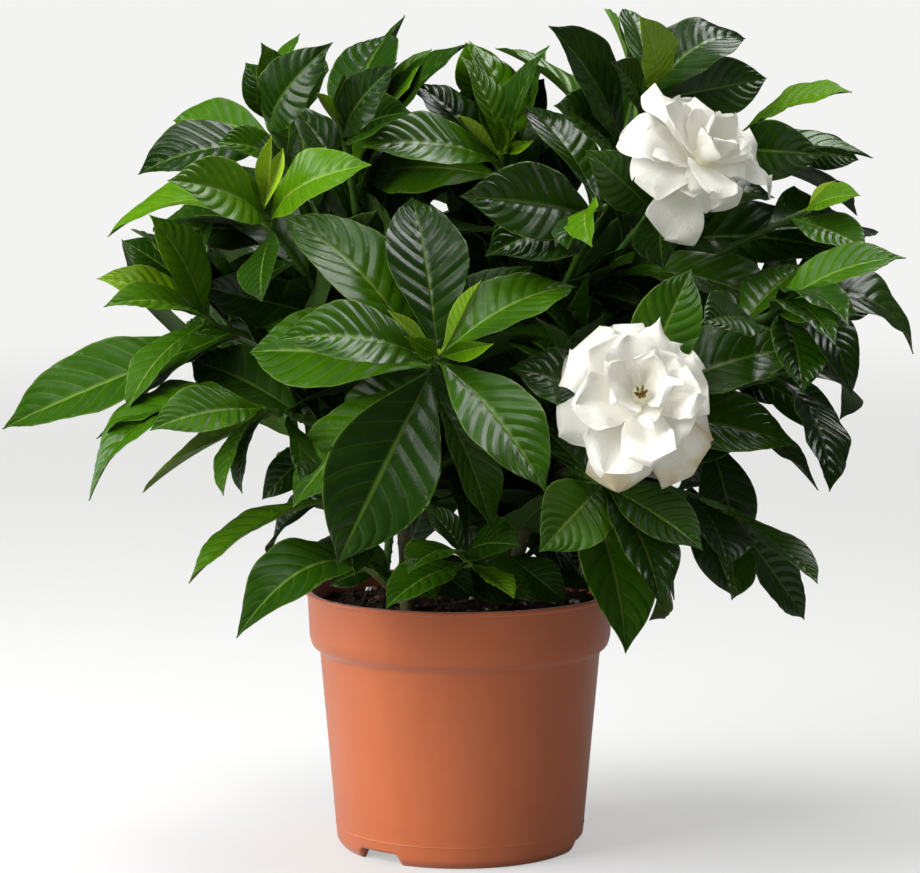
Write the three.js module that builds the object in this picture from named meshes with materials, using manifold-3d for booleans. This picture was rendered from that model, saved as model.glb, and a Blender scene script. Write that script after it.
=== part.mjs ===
// A bushy double gardenia in a terracotta-coloured plastic pot.
//
// Millimetres, +Z up. X runs to the right and Y away, as the plant is seen from its front.
// The origin lies on the surface that the pot stands on, under the middle of the plant's outline.
// The plant is worked out round the pot's axis first, and the whole group is moved at the end.
import * as THREE from "three";
import { mergeVertices } from "three/addons/utils/BufferGeometryUtils.js";
import Module from "manifold-3d";

const wasm = await Module();
wasm.setup();

// The pot: a 12 cm grower's pot with a deep collar, moulded in one piece.
const RIM_RADIUS = 60;
const POT_HEIGHT = 100;
const LIP_HEIGHT = 1.8;
const LIP_OVERHANG = 0.7;
const COLLAR_BOTTOM_RADIUS = 58.6;
const COLLAR_HEIGHT = 18;
const COLLAR_ROUNDING = 5;
const BODY_TOP_RADIUS = 54.6;
const FOOT_RADIUS = 48;
const FOOT_ROUNDING = 2.6;
const WALL = 1.7;
const FLOOR_UNDERSIDE = 7;
const FLOOR_THICKNESS = 2;
const POT_SIDES = 36;
const NOTCH_WIDTH = 19;
const NOTCH_HEIGHT = 4.6;
const NOTCH_COUNT = 3;
const FIRST_NOTCH_DEGREES = -41;
const DRAIN_RADIUS = 4.5;
const DRAIN_CIRCLE = 26;
const DRAIN_COUNT = 4;

// The soil fills the pot to a little under its lip.
const SOIL_TOP = 94.5;
const SOIL_BUMP = 1.6;
const SOIL_RINGS = [0, 14, 30, 45];
const SOIL_SIDES = 18;
const SEAT_GAP = 0.3;

// The plant: four rooted cuttings, each with woody branches that carry the green shoots.
const CUTTING_RADIUS = 3;
const BRANCH_RADIUS = 2.1;
const ROOTED_DEPTH = 34;
const SHOOT_START = 0.38;
const SHOOT_BASE_RADIUS = 1.9;
const SHOOT_TIP_RADIUS = 1.1;
const STEM_SIDES = 6;
const HALF_BLADE = 0.6;
const CLEAR_OF_OTHERS = 0.35;
const CLEAR_OF_OWN = 0.1;
const SMALLEST_DETAILS = [0.12, 0.09, 0.15, 0.18, 0.22, 0.27, 0.06];
const CORNER_GRID = 0.001;

// Where the plant is seen from in the picture, which places the leaves that it shows.
// Picture places are in pixels of its 920 by 873 frame.
const VIEW_DISTANCE = 1150;
const VIEW_HEIGHT = 274;
const VIEW_PITCH = THREE.MathUtils.degToRad(5.68);
const VIEW_FOCAL = 2981;
const PICTURE_MIDDLE = [460.5, 436.5];

const RANDOM_SEED = 1700;
const UP = new THREE.Vector3(0, 0, 1);
const EYE = new THREE.Vector3(0, -VIEW_DISTANCE, VIEW_HEIGHT);

const vector = (x, y, z) => new THREE.Vector3(x, y, z);

function randomSource(seed) {
  let state = seed;
  return () => {
    state = (state + 0x6d2b79f5) | 0;
    let mixed = Math.imul(state ^ (state >>> 15), 1 | state);
    mixed = (mixed + Math.imul(mixed ^ (mixed >>> 7), 61 | mixed)) ^ mixed;
    return ((mixed ^ (mixed >>> 14)) >>> 0) / 4294967296;
  };
}

// The direction from the eye through a place in the picture.
function rayThrough([x, y]) {
  const across = (x - PICTURE_MIDDLE[0]) / VIEW_FOCAL;
  const down = (y - PICTURE_MIDDLE[1]) / VIEW_FOCAL;
  const cos = Math.cos(VIEW_PITCH);
  const sin = Math.sin(VIEW_PITCH);
  return vector(across, cos - down * sin, -sin - down * cos).normalize();
}

// The point seen at a place in the picture, at a distance behind (+) or before (-) the pot's axis.
function seenAt(place, behind) {
  const ray = rayThrough(place);
  return EYE.clone().addScaledVector(ray, (VIEW_DISTANCE + behind) / ray.y);
}

// The point seen at a place that lies a given length from a base: the nearer or the farther one,
// or the closest point of the line of sight where the length doesn't reach it.
function reachTo(place, base, length, far) {
  const ray = rayThrough(place);
  const along = base.clone().sub(EYE).dot(ray);
  const foot = EYE.clone().addScaledVector(ray, along);
  const spare = length ** 2 - foot.distanceToSquared(base);
  const shift = spare > 0 ? Math.sqrt(spare) : 0;
  return foot.addScaledVector(ray, far ? shift : -shift);
}

// Solids

function toManifold(geometry) {
  geometry.deleteAttribute("normal");
  geometry.deleteAttribute("uv");
  const merged = mergeVertices(geometry, 1e-4);
  return new wasm.Manifold(new wasm.Mesh({
    numProp: 3,
    vertProperties: new Float32Array(merged.attributes.position.array),
    triVerts: new Uint32Array(merged.index.array),
  }));
}

function solidFrom(points, triangles) {
  return new wasm.Manifold(new wasm.Mesh({
    numProp: 3,
    vertProperties: new Float32Array(points.flatMap((point) => [point.x, point.y, point.z])),
    triVerts: new Uint32Array(triangles),
  }));
}

// Rounds a mesh's corners and joins those that then coincide. The triangles that collapse are
// left out. It is closed if every edge is then run along once in each direction.
function roundedMesh(mesh) {
  const corners = new Map();
  const positions = [];
  const joined = [];
  for (let corner = 0; corner < mesh.vertProperties.length; corner += 3) {
    const place = [...mesh.vertProperties.slice(corner, corner + 3)]
      .map((value) => Math.round(value / CORNER_GRID) * CORNER_GRID);
    const key = place.map((value) => value.toFixed(4)).join();
    if (!corners.has(key)) {
      corners.set(key, corners.size);
      positions.push(...place);
    }
    joined.push(corners.get(key));
  }
  const triangles = [];
  const edges = new Map();
  for (let first = 0; first < mesh.triVerts.length; first += 3) {
    const [a, b, c] = [...mesh.triVerts.slice(first, first + 3)].map((corner) => joined[corner]);
    if (a === b || b === c || c === a) continue;
    triangles.push(a, b, c);
    for (const edge of [`${a},${b}`, `${b},${c}`, `${c},${a}`]) {
      edges.set(edge, (edges.get(edge) ?? 0) + 1);
    }
  }
  const closed = [...edges].every(([edge, count]) => {
    const [from, to] = edge.split(",");
    return count === 1 && edges.get(`${to},${from}`) === 1;
  });
  return { positions, triangles, closed };
}

const largestBody = (solid) => solid.decompose().toSorted((a, b) => b.volume() - a.volume())[0];

// The finest simplification whose rounded mesh stays closed. Chips that hang loose are dropped.
function fromManifold(solid) {
  let rounded = null;
  for (const detail of SMALLEST_DETAILS) {
    rounded = roundedMesh(largestBody(solid.simplify(detail)).getMesh());
    if (rounded.closed) break;
  }
  const geometry = new THREE.BufferGeometry();
  geometry.setAttribute("position", new THREE.Float32BufferAttribute(rounded.positions, 3));
  geometry.setIndex(rounded.triangles);
  return geometry;
}

// Rings of the same number of points, joined by quads whose splits mirror each other on the
// two faces of a blade. It ends in a flat fan, or in a point.
function loft(rings, point) {
  const sides = rings[0].length;
  const last = (rings.length - 1) * sides;
  const points = point ? [...rings.flat(), point] : rings.flat();
  const triangles = [];
  for (let side = 0; side < sides; side += 1) {
    const next = (side + 1) % sides;
    for (let ring = 0; ring < last; ring += sides) {
      const [a, b, c, d] = [ring + side, ring + next, ring + next + sides, ring + side + sides];
      if (side % 2 === 0) triangles.push(a, b, c, a, c, d);
      else triangles.push(a, b, d, b, c, d);
    }
    if (point) triangles.push(last + side, last + next, points.length - 1);
  }
  for (let side = 1; side < sides - 1; side += 1) {
    triangles.push(0, side + 1, side);
    if (!point) triangles.push(last, last + side, last + side + 1);
  }
  return solidFrom(points, triangles);
}

// A round stem along a curve, thinning evenly, with flat ends square to the curve.
function stemSolid(curve, radiusAtStart, radiusAtEnd, steps, sides = STEM_SIDES) {
  const frames = curve.computeFrenetFrames(steps, false);
  const rings = [];
  for (let step = 0; step <= steps; step += 1) {
    const t = step / steps;
    const centre = curve.getPointAt(t);
    const radius = THREE.MathUtils.lerp(radiusAtStart, radiusAtEnd, t);
    const ring = [];
    for (let side = 0; side < sides; side += 1) {
      const angle = (2 * Math.PI * side) / sides;
      ring.push(centre.clone()
        .addScaledVector(frames.normals[step], radius * Math.cos(angle))
        .addScaledVector(frames.binormals[step], radius * Math.sin(angle)));
    }
    rings.push(ring);
  }
  return loft(rings);
}

// Blades: leaves and petals

// A blade's surface: t runs from its root to its tip and u from its left edge to its right one.
// The midrib bows off the line from root to tip, the halves fold up about it, and the whole
// twists along its length.
function bladePoint(blade, t, u) {
  const { root, tip, normal, width, bow, fold, twist, outline } = blade;
  const length = root.distanceTo(tip);
  const along = tip.clone().sub(root).divideScalar(length);
  const side = normal.clone().cross(along);
  const slope = Math.atan(4 * bow * (1 - 2 * t));
  const lifted = normal.clone().multiplyScalar(Math.cos(slope))
    .addScaledVector(along, -Math.sin(slope));
  const turn = twist * (t - 0.5);
  const across = side.clone().multiplyScalar(Math.cos(turn))
    .addScaledVector(lifted, Math.sin(turn));
  const face = lifted.clone().multiplyScalar(Math.cos(turn))
    .addScaledVector(side, -Math.sin(turn));
  const half = (width / 2) * outline(t);
  return {
    point: root.clone()
      .addScaledVector(along, length * t)
      .addScaledVector(normal, length * 4 * bow * t * (1 - t))
      .addScaledVector(across, half * u * Math.cos(fold))
      .addScaledVector(face, half * Math.abs(u) * Math.sin(fold)),
    face,
    across,
  };
}

const leafOutline = (t) => Math.sin(Math.PI * Math.min(t, 1) ** 1.22) ** 1.1;
const petalOutline = (t) => Math.sin(Math.PI * Math.min(t, 1) ** 1.7) ** 0.62;
const LEAF_STATIONS = [0.27, 0.55, 0.82];
const SPARE_STATIONS = [0.34, 0.72];
const PETAL_STATIONS = [0.45, 0.84];
const ROOT_HALF_WIDTH = 1;
const OUTER_START = 0.1;

// The solid blade's section has its two edges and a keel under its midrib, and a petal's has a
// ridge above the midrib too. The outer part of a blade leaves out the root, which stands in
// the stem.
function bladeSolid(blade, outerOnly = false) {
  const { ridged, stations = LEAF_STATIONS } = blade;
  const ringAt = (left, middle, right, face) => {
    const keel = middle.clone().addScaledVector(face, ridged ? -HALF_BLADE : -2 * HALF_BLADE);
    const ridge = middle.clone().addScaledVector(face, HALF_BLADE);
    return ridged ? [left, keel, right, ridge] : [left, keel, right];
  };
  const rings = stations.map((t) => {
    const middle = bladePoint(blade, t, 0);
    const left = bladePoint(blade, t, -1).point;
    return ringAt(left, middle.point, bladePoint(blade, t, 1).point, middle.face);
  });
  const foot = bladePoint(blade, outerOnly ? OUTER_START : 0, 0);
  const left = foot.point.clone().addScaledVector(foot.across, -ROOT_HALF_WIDTH);
  const right = foot.point.clone().addScaledVector(foot.across, ROOT_HALF_WIDTH);
  rings.unshift(ringAt(left, foot.point, right, foot.face));
  return loft(rings, blade.tip);
}

// The pot

function potProfile() {
  const collarFoot = POT_HEIGHT - COLLAR_HEIGHT;
  const footInside = FOOT_RADIUS - FOOT_ROUNDING - 0.8;
  const outside = [
    [0, FLOOR_UNDERSIDE],
    [footInside, FLOOR_UNDERSIDE],
    [footInside, 0],
    [FOOT_RADIUS - FOOT_ROUNDING + 0.6, 0],
    [FOOT_RADIUS, FOOT_ROUNDING],
    [BODY_TOP_RADIUS, collarFoot - COLLAR_ROUNDING],
    [COLLAR_BOTTOM_RADIUS - COLLAR_ROUNDING * 0.25, collarFoot - COLLAR_ROUNDING * 0.6],
    [COLLAR_BOTTOM_RADIUS, collarFoot],
    [RIM_RADIUS - LIP_OVERHANG, POT_HEIGHT - LIP_HEIGHT],
    [RIM_RADIUS, POT_HEIGHT - LIP_HEIGHT + 0.5],
    [RIM_RADIUS, POT_HEIGHT],
  ];
  const inside = [
    [RIM_RADIUS - LIP_OVERHANG - WALL, POT_HEIGHT],
    [COLLAR_BOTTOM_RADIUS - WALL, collarFoot],
    [BODY_TOP_RADIUS - WALL, collarFoot - COLLAR_ROUNDING],
    [insideWallRadius(FLOOR_UNDERSIDE + FLOOR_THICKNESS), FLOOR_UNDERSIDE + FLOOR_THICKNESS],
    [0, FLOOR_UNDERSIDE + FLOOR_THICKNESS],
  ];
  return [...outside, ...inside].map(([radius, height]) => new THREE.Vector2(radius, height));
}

// The radius inside the tapered body at a height.
function insideWallRadius(height) {
  const top = POT_HEIGHT - COLLAR_HEIGHT - COLLAR_ROUNDING;
  const rise = (height - FOOT_ROUNDING) / (top - FOOT_ROUNDING);
  return THREE.MathUtils.lerp(FOOT_RADIUS, BODY_TOP_RADIUS, rise) - WALL;
}

function makePot() {
  const lathe = new THREE.LatheGeometry(potProfile(), POT_SIDES).rotateX(Math.PI / 2);
  let pot = toManifold(lathe);
  for (let notch = 0; notch < NOTCH_COUNT; notch += 1) {
    const angle = THREE.MathUtils.degToRad(FIRST_NOTCH_DEGREES - 90 + (notch * 360) / NOTCH_COUNT);
    const box = new THREE.BoxGeometry(14, NOTCH_WIDTH, NOTCH_HEIGHT * 2);
    box.translate(FOOT_RADIUS, 0, 0).rotateZ(angle);
    pot = pot.subtract(toManifold(box));
  }
  for (let hole = 0; hole < DRAIN_COUNT; hole += 1) {
    const angle = (2 * Math.PI * hole) / DRAIN_COUNT;
    const drill = new THREE.CylinderGeometry(DRAIN_RADIUS, DRAIN_RADIUS, 6, 10).rotateX(Math.PI / 2);
    drill.translate(
      DRAIN_CIRCLE * Math.cos(angle),
      DRAIN_CIRCLE * Math.sin(angle),
      FLOOR_UNDERSIDE + FLOOR_THICKNESS / 2,
    );
    pot = pot.subtract(toManifold(drill));
  }
  return pot;
}

// The soil's uneven top, as a height above or below its mean level.
function soilBump(x, y) {
  return SOIL_BUMP * (0.5 * Math.sin(0.21 * x + 1.1) * Math.cos(0.17 * y)
    + 0.5 * Math.sin(0.13 * x - 0.24 * y + 0.6));
}

function makeSoil() {
  const floor = FLOOR_UNDERSIDE + FLOOR_THICKNESS + SEAT_GAP;
  const collarFoot = POT_HEIGHT - COLLAR_HEIGHT;
  const edge = RIM_RADIUS - LIP_OVERHANG - WALL - SEAT_GAP - 0.3;
  const profile = [
    [0, floor],
    [insideWallRadius(floor) - SEAT_GAP, floor],
    [BODY_TOP_RADIUS - WALL - SEAT_GAP, collarFoot - COLLAR_ROUNDING],
    [COLLAR_BOTTOM_RADIUS - WALL - SEAT_GAP, collarFoot + 0.4],
    [edge, SOIL_TOP],
    ...SOIL_RINGS.toReversed().map((radius) => [radius, SOIL_TOP]),
  ].map(([radius, height]) => new THREE.Vector2(radius, height));
  const lathe = new THREE.LatheGeometry(profile, SOIL_SIDES).rotateX(Math.PI / 2);
  const position = lathe.attributes.position;
  for (let i = 0; i < position.count; i += 1) {
    const x = position.getX(i);
    const y = position.getY(i);
    const inward = THREE.MathUtils.smoothstep(edge - Math.hypot(x, y), 2, 10);
    if (position.getZ(i) > SOIL_TOP - 0.01) position.setZ(i, SOIL_TOP + soilBump(x, y) * inward);
  }
  let soil = toManifold(lathe);
  for (const { at } of CUTTINGS) {
    const hole = new THREE.CylinderGeometry(CUTTING_RADIUS + 0.6, CUTTING_RADIUS + 0.6, 60, 10);
    hole.rotateX(Math.PI / 2).translate(at[0], at[1], SOIL_TOP - ROOTED_DEPTH - SEAT_GAP + 30);
    soil = soil.subtract(toManifold(hole));
  }
  return soil;
}

// The plant

const CUTTINGS = [
  { name: "stem_1", at: [-20, -22], crown: [-24, -34, 150] },
  { name: "stem_2", at: [20, -14], crown: [34, -26, 145] },
  { name: "stem_3", at: [-14, 18], crown: [-30, 14, 160] },
  { name: "stem_4", at: [18, 20], crown: [24, 20, 165] },
];

// One leaf that the picture shows: where it grows on its shoot (0 at the foot, 1 at the bud),
// the picture place of its tip, the width that it shows there in pixels, its length in mm,
// and its traits. A "far" leaf leans away from the viewer, an "arched" one droops to its tip, a
// "flat" one is nearly straight and a "young" one is still folded. The other words are its
// colour.
const leaf = (at, tip, shown, length, traits) => ({ at, tip, shown, length, traits });

// The shoots that carry those leaves. Each one has its bud at a picture place, a distance before
// (-) or behind (+) the pot's axis, and `fill` more leaves that are placed by rule.
const SHOOTS = [
  { name: "spray_front", cutting: 0, bud: [440, 356], behind: -96, fill: 3, leaves: [
    leaf(0.94, [412, 196], 84, 68, "far dark"),
    leaf(0.86, [276, 340], 62, 62, "mid"),
    leaf(0.78, [249, 352], 85, 74, "far mid"),
    leaf(0.84, [337, 565], 116, 82, "dark"),
    leaf(0.92, [547, 492], 76, 66, "mid"),
    leaf(0.90, [578, 286], 55, 62, "far mid"),
    leaf(0.98, [494, 344], 34, 28, "young light"),
    leaf(1.00, [481, 280], 20, 32, "young pale"),
    leaf(1.00, [428, 284], 30, 34, "far young pale"),
    leaf(0.99, [406, 337], 35, 28, "young light"),
    leaf(0.97, [389, 310], 14, 26, "young pale"),
    leaf(0.70, [335, 452], 50, 58, "far mid"),
    leaf(0.66, [281, 215], 74, 80, "far mid"),
    leaf(0.55, [292, 508], 60, 62, "mid"),
    leaf(0.60, [493, 531], 44, 58, "far mid"),
    leaf(0.62, [298, 392], 44, 58, "far dark"),
  ] },
  { name: "spray_upper_left", cutting: 2, bud: [262, 214], behind: -62, fill: 3, leaves: [
    leaf(1.00, [272, 134], 25, 32, "young pale"),
    leaf(1.00, [284, 147], 26, 28, "far young pale"),
    leaf(0.98, [237, 163], 22, 25, "young light"),
    leaf(0.96, [229, 160], 10, 27, "far young pale"),
    leaf(0.92, [168, 180], 56, 58, "light"),
    leaf(0.90, [372, 164], 46, 52, "light"),
    leaf(0.74, [107, 236], 30, 64, "light arched"),
    leaf(0.86, [262, 302], 35, 44, "dark"),
    leaf(0.60, [224, 330], 36, 56, "far dark"),
  ] },
  { name: "spray_top_left", cutting: 2, bud: [268, 122], behind: -10, fill: 2, leaves: [
    leaf(0.98, [262, 42], 38, 40, "light"),
    leaf(0.95, [333, 42], 55, 50, "dark"),
    leaf(0.90, [173, 120], 42, 48, "far mid"),
    leaf(1.00, [300, 33], 20, 42, "far mid"),
    leaf(0.70, [218, 142], 28, 46, "mid"),
    leaf(0.84, [138, 174], 50, 64, "dark"),
  ] },
  { name: "spray_top", cutting: 2, bud: [342, 124], behind: -30, fill: 3, leaves: [
    leaf(1.00, [345, 73], 30, 28, "young light"),
    leaf(0.98, [317, 92], 12, 26, "young pale"),
    leaf(1.00, [355, 88], 10, 22, "far young pale"),
    leaf(0.97, [374, 83], 12, 26, "young pale"),
    leaf(0.88, [412, 112], 34, 46, "dark"),
    leaf(0.82, [393, 32], 60, 62, "far dark"),
    leaf(0.70, [432, 48], 32, 66, "far light"),
    leaf(0.60, [404, 14], 32, 70, "far dark"),
    leaf(0.92, [398, 62], 44, 40, "dark"),
  ] },
  { name: "spray_centre", cutting: 3, bud: [502, 152], behind: -30, fill: 3, leaves: [
    leaf(1.00, [502, 119], 25, 24, "young light"),
    leaf(0.97, [459, 114], 11, 24, "young pale"),
    leaf(0.98, [520, 129], 10, 20, "far young pale"),
    leaf(0.99, [534, 141], 20, 22, "young light"),
    leaf(0.92, [361, 147], 50, 60, "mid"),
    leaf(0.84, [365, 176], 62, 60, "far mid"),
    leaf(0.90, [490, 86], 46, 44, "far dark"),
    leaf(0.80, [441, 97], 38, 56, "far dark"),
    leaf(0.74, [470, 40], 50, 66, "far light"),
    leaf(0.70, [549, 44], 44, 62, "far mid"),
    leaf(0.86, [410, 80], 36, 56, "far dark"),
    leaf(0.95, [462, 56], 28, 40, "far light"),
  ] },
  { name: "spray_middle", cutting: 3, bud: [606, 206], behind: -52, fill: 3, leaves: [
    leaf(0.90, [460, 196], 78, 64, "dark"),
    leaf(0.76, [485, 256], 70, 66, "dark"),
    leaf(0.94, [523, 104], 42, 60, "far dark"),
    leaf(0.96, [567, 249], 28, 44, "dark"),
    leaf(0.98, [592, 247], 22, 34, "light"),
    leaf(0.80, [548, 134], 24, 52, "far light"),
  ] },
  { name: "spray_top_right", cutting: 3, bud: [652, 92], behind: -14, fill: 3, leaves: [
    leaf(0.96, [626, 8], 42, 50, "far mid"),
    leaf(0.99, [640, 15], 38, 44, "pale"),
    leaf(0.90, [612, 62], 28, 40, "dark"),
    leaf(0.86, [606, 8], 14, 60, "far light"),
    leaf(0.84, [747, 38], 58, 58, "far dark arched"),
    leaf(0.95, [768, 78], 62, 50, "dark"),
    leaf(0.72, [550, 25], 50, 70, "dark"),
    leaf(0.66, [555, 105], 35, 58, "mid"),
    leaf(0.60, [496, 47], 16, 76, "far light"),
  ] },
  { name: "spray_behind_bloom", cutting: 3, bud: [742, 134], behind: 6, fill: 3, leaves: [
    leaf(0.98, [853, 91], 20, 50, "light"),
    leaf(0.90, [826, 155], 62, 52, "dark"),
    leaf(0.84, [874, 157], 22, 62, "far mid"),
    leaf(0.70, [700, 104], 40, 50, "far dark"),
    leaf(0.30, [852, 254], 60, 66, "dark"),
  ] },
  { name: "spray_far_right", cutting: 3, bud: [806, 212], behind: -30, fill: 3, leaves: [
    leaf(0.99, [861, 195], 22, 30, "light"),
    leaf(1.00, [836, 180], 10, 24, "young pale"),
    leaf(1.00, [846, 187], 9, 22, "young pale"),
    leaf(0.92, [868, 250], 36, 42, "mid"),
  ] },
  { name: "spray_right", cutting: 1, bud: [790, 306], behind: -66, fill: 0, leaves: [
    leaf(0.92, [858, 315], 42, 46, "mid"),
    leaf(0.84, [915, 354], 44, 62, "far mid arched"),
    leaf(0.98, [833, 300], 16, 28, "light"),
    leaf(0.95, [880, 304], 44, 46, "mid"),
    leaf(0.88, [907, 257], 38, 58, "far mid"),
    leaf(0.90, [852, 399], 40, 46, "dark arched"),
    leaf(0.50, [812, 318], 45, 70, "far mid"),
    leaf(0.70, [813, 264], 44, 56, "far mid"),
    leaf(0.90, [850, 325], 12, 40, "dark"),
    leaf(0.88, [836, 344], 25, 44, "dark"),
    leaf(0.80, [703, 322], 46, 50, "dark"),
    leaf(0.94, [803, 394], 50, 48, "dark"),
  ] },
  { name: "spray_low_right", cutting: 1, bud: [790, 374], behind: -62, fill: 2, leaves: [
    leaf(0.92, [841, 420], 20, 50, "far dark arched"),
    leaf(0.92, [831, 492], 38, 54, "dark"),
    leaf(0.40, [820, 490], 26, 60, "far dark"),
    leaf(0.60, [706, 350], 44, 60, "far dark"),
  ] },
  { name: "spray_lowest_right", cutting: 1, bud: [736, 512], behind: -44, fill: 1, leaves: [
    leaf(0.98, [819, 583], 26, 50, "flat mid"),
    leaf(0.88, [806, 620], 46, 60, "far flat dark"),
    leaf(0.94, [733, 600], 40, 46, "flat mid"),
    leaf(0.60, [728, 566], 44, 62, "dark"),
  ] },
  { name: "spray_under_bloom", cutting: 1, bud: [604, 486], behind: -84, fill: 3, leaves: [
    leaf(0.12, [627, 654], 74, 76, "mid"),
    leaf(0.10, [584, 574], 46, 56, "far dark"),
    leaf(0.96, [540, 552], 80, 50, "mid"),
    leaf(0.96, [704, 550], 52, 50, "dark"),
    leaf(0.84, [662, 608], 54, 60, "dark"),
    leaf(0.70, [652, 621], 30, 72, "far mid"),
    leaf(0.90, [676, 600], 16, 56, "far dark"),
    leaf(0.60, [505, 402], 60, 62, "far dark"),
  ] },
  { name: "spray_low_front", cutting: 0, bud: [470, 566], behind: -76, fill: 0, leaves: [
    leaf(0.98, [386, 608], 38, 46, "mid"),
    leaf(0.90, [408, 573], 24, 44, "mid"),
    leaf(0.94, [424, 506], 26, 34, "mid"),
    leaf(0.96, [515, 598], 20, 30, "light"),
    leaf(0.90, [452, 464], 42, 50, "far dark"),
    leaf(0.85, [522, 546], 40, 48, "dark"),
    leaf(0.80, [532, 602], 30, 46, "mid"),
  ] },
  { name: "spray_lowest_front", cutting: 0, bud: [386, 584], behind: -60, fill: 0, leaves: [
    leaf(0.98, [236, 638], 54, 70, "dark arched"),
    leaf(0.92, [357, 557], 24, 30, "mid"),
    leaf(0.86, [438, 600], 34, 44, "dark"),
    leaf(0.74, [330, 586], 34, 46, "dark"),
    leaf(0.80, [300, 556], 26, 46, "far dark"),
  ] },
  { name: "spray_left", cutting: 2, bud: [206, 322], behind: -48, fill: 3, leaves: [
    leaf(1.00, [150, 214], 46, 50, "light"),
    leaf(0.98, [217, 212], 26, 46, "far mid"),
    leaf(0.94, [97, 278], 34, 48, "pale"),
    leaf(0.96, [124, 276], 20, 40, "far light"),
    leaf(0.92, [104, 306], 24, 44, "light"),
    leaf(0.97, [143, 245], 30, 44, "far light"),
    leaf(0.80, [132, 228], 26, 62, "far dark"),
    leaf(0.74, [2, 428], 64, 86, "flat mid"),
    leaf(0.97, [127, 413], 30, 44, "mid"),
    leaf(0.70, [120, 430], 26, 66, "far dark"),
  ] },
  { name: "spray_low_left", cutting: 0, bud: [262, 410], behind: -72, fill: 2, leaves: [
    leaf(0.96, [150, 430], 48, 50, "mid"),
    leaf(0.90, [96, 438], 32, 66, "far mid"),
    leaf(0.80, [88, 501], 34, 72, "far mid arched"),
    leaf(0.80, [142, 492], 14, 62, "far pale"),
    leaf(0.98, [223, 496], 16, 38, "mid"),
    leaf(0.99, [242, 494], 16, 36, "far dark"),
    leaf(0.76, [300, 480], 26, 40, "dark"),
  ] },
  { name: "spray_lowest_left", cutting: 0, bud: [330, 500], behind: -52, fill: 1, leaves: [
    leaf(0.94, [188, 583], 22, 62, "light"),
    leaf(0.90, [270, 558], 20, 46, "far dark"),
    leaf(0.98, [356, 575], 30, 42, "dark"),
  ] },
  { name: "spray_bloom_front", cutting: 1, bud: [640, 404], behind: -92, fill: 2, bloom: "bloom_front",
    facing: [-0.02, -0.93, 0.36], leaves: [
      leaf(0.50, [799, 446], 64, 68, "mid"),
      leaf(0.84, [692, 268], 70, 48, "mid"),
      leaf(0.70, [510, 368], 56, 60, "dark"),
      leaf(0.64, [635, 318], 60, 58, "far dark"),
      leaf(0.60, [715, 342], 50, 56, "far dark"),
    ] },
  { name: "spray_bloom_upper", cutting: 3, bud: [690, 172], behind: -44, fill: 2, bloom: "bloom_upper",
    facing: [0.5, -0.62, 0.6], leaves: [
      leaf(0.75, [586, 150], 56, 46, "mid"),
      leaf(0.45, [802, 326], 46, 70, "mid"),
      leaf(0.86, [664, 269], 50, 50, "dark"),
    ] },
];

// The shoots at the back, which the picture doesn't show: their buds, in mm from the pot's axis.
const BACK_SHOOTS = [
  { name: "spray_back_1", cutting: 2, budAt: [-104, 22, 190], fill: 8 },
  { name: "spray_back_2", cutting: 2, budAt: [-60, 66, 214], fill: 9 },
  { name: "spray_back_3", cutting: 3, budAt: [4, 40, 250], fill: 9 },
  { name: "spray_back_4", cutting: 3, budAt: [64, 66, 214], fill: 9 },
  { name: "spray_back_5", cutting: 3, budAt: [112, 24, 190], fill: 8 },
  { name: "spray_back_6", cutting: 2, budAt: [-8, 94, 190], fill: 9 },
  { name: "spray_back_7", cutting: 2, budAt: [-74, 56, 146], fill: 8 },
  { name: "spray_back_8", cutting: 3, budAt: [78, 56, 146], fill: 8 },
  { name: "spray_back_9", cutting: 3, budAt: [6, 76, 146], fill: 7 },
];

// A petal by its clock angle and opening in degrees, its length and width in mm and its whorl.
const petal = (clock, open, length, width, whorl) => ({ clock, open, length, width, whorl });

// The innermost petals stand in even whorls round the eye.
function innerPetals(first) {
  return [0, 1, 2, 3, 4].map((k) => petal(first + 72 * k, 36, 18, 17, 2));
}

const BLOOMS = {
  bloom_front: [
    petal(246, 88, 32, 24, 0), petal(306, 84, 32, 32, 0), petal(306, 98, 34, 24, 0),
    petal(340, 80, 30, 25, 0), petal(40, 84, 28, 23, 0), petal(14, 78, 31, 24, 0),
    petal(116, 94, 30, 34, 0), petal(78, 80, 26, 27, 0), petal(144, 92, 33, 27, 0),
    petal(194, 90, 36, 27, 0), petal(204, 68, 34, 27, 1), petal(174, 64, 32, 22, 1),
    petal(144, 62, 25, 24, 1), petal(96, 58, 25, 22, 1), petal(44, 54, 20, 21, 1),
    petal(346, 58, 24, 22, 1), petal(310, 62, 26, 25, 1), petal(256, 66, 26, 25, 1),
    ...innerPetals(20),
  ],
  bloom_upper: [
    petal(292, 78, 35, 26, 0), petal(326, 72, 35, 22, 0), petal(14, 60, 29, 26, 0),
    petal(68, 76, 30, 26, 0), petal(94, 88, 40, 24, 0), petal(186, 84, 21, 30, 0),
    petal(218, 110, 32, 25, 0), petal(266, 96, 30, 27, 0), petal(286, 74, 27, 22, 1),
    petal(312, 64, 27, 20, 1), petal(4, 46, 20, 20, 1), petal(66, 54, 19, 22, 1),
    petal(106, 62, 18, 22, 1), petal(212, 70, 26, 24, 1), petal(244, 84, 22, 22, 1),
    ...innerPetals(40),
  ],
};
const PETAL_FORMS = [
  { bow: 0.1, fold: 0.14 },
  { bow: -0.04, fold: 0.34 },
  { bow: -0.16, fold: 0.55 },
];
const LOWEST_PETAL = 2.2;
const WHORL_RISE = 2.6;
const OVERLAP_RISE = 1.3;
const OVERLAP_LEAN = 8;
const CORE_RADIUS = 4.4;
const CORE_HEIGHT = 11.5;
const EYE_RADIUS = 2.3;
const EYE_HEIGHT = 5;
const SEPALS = 6;
const CUP_DEPTH = 7;
const STALK_END = 4;

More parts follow.
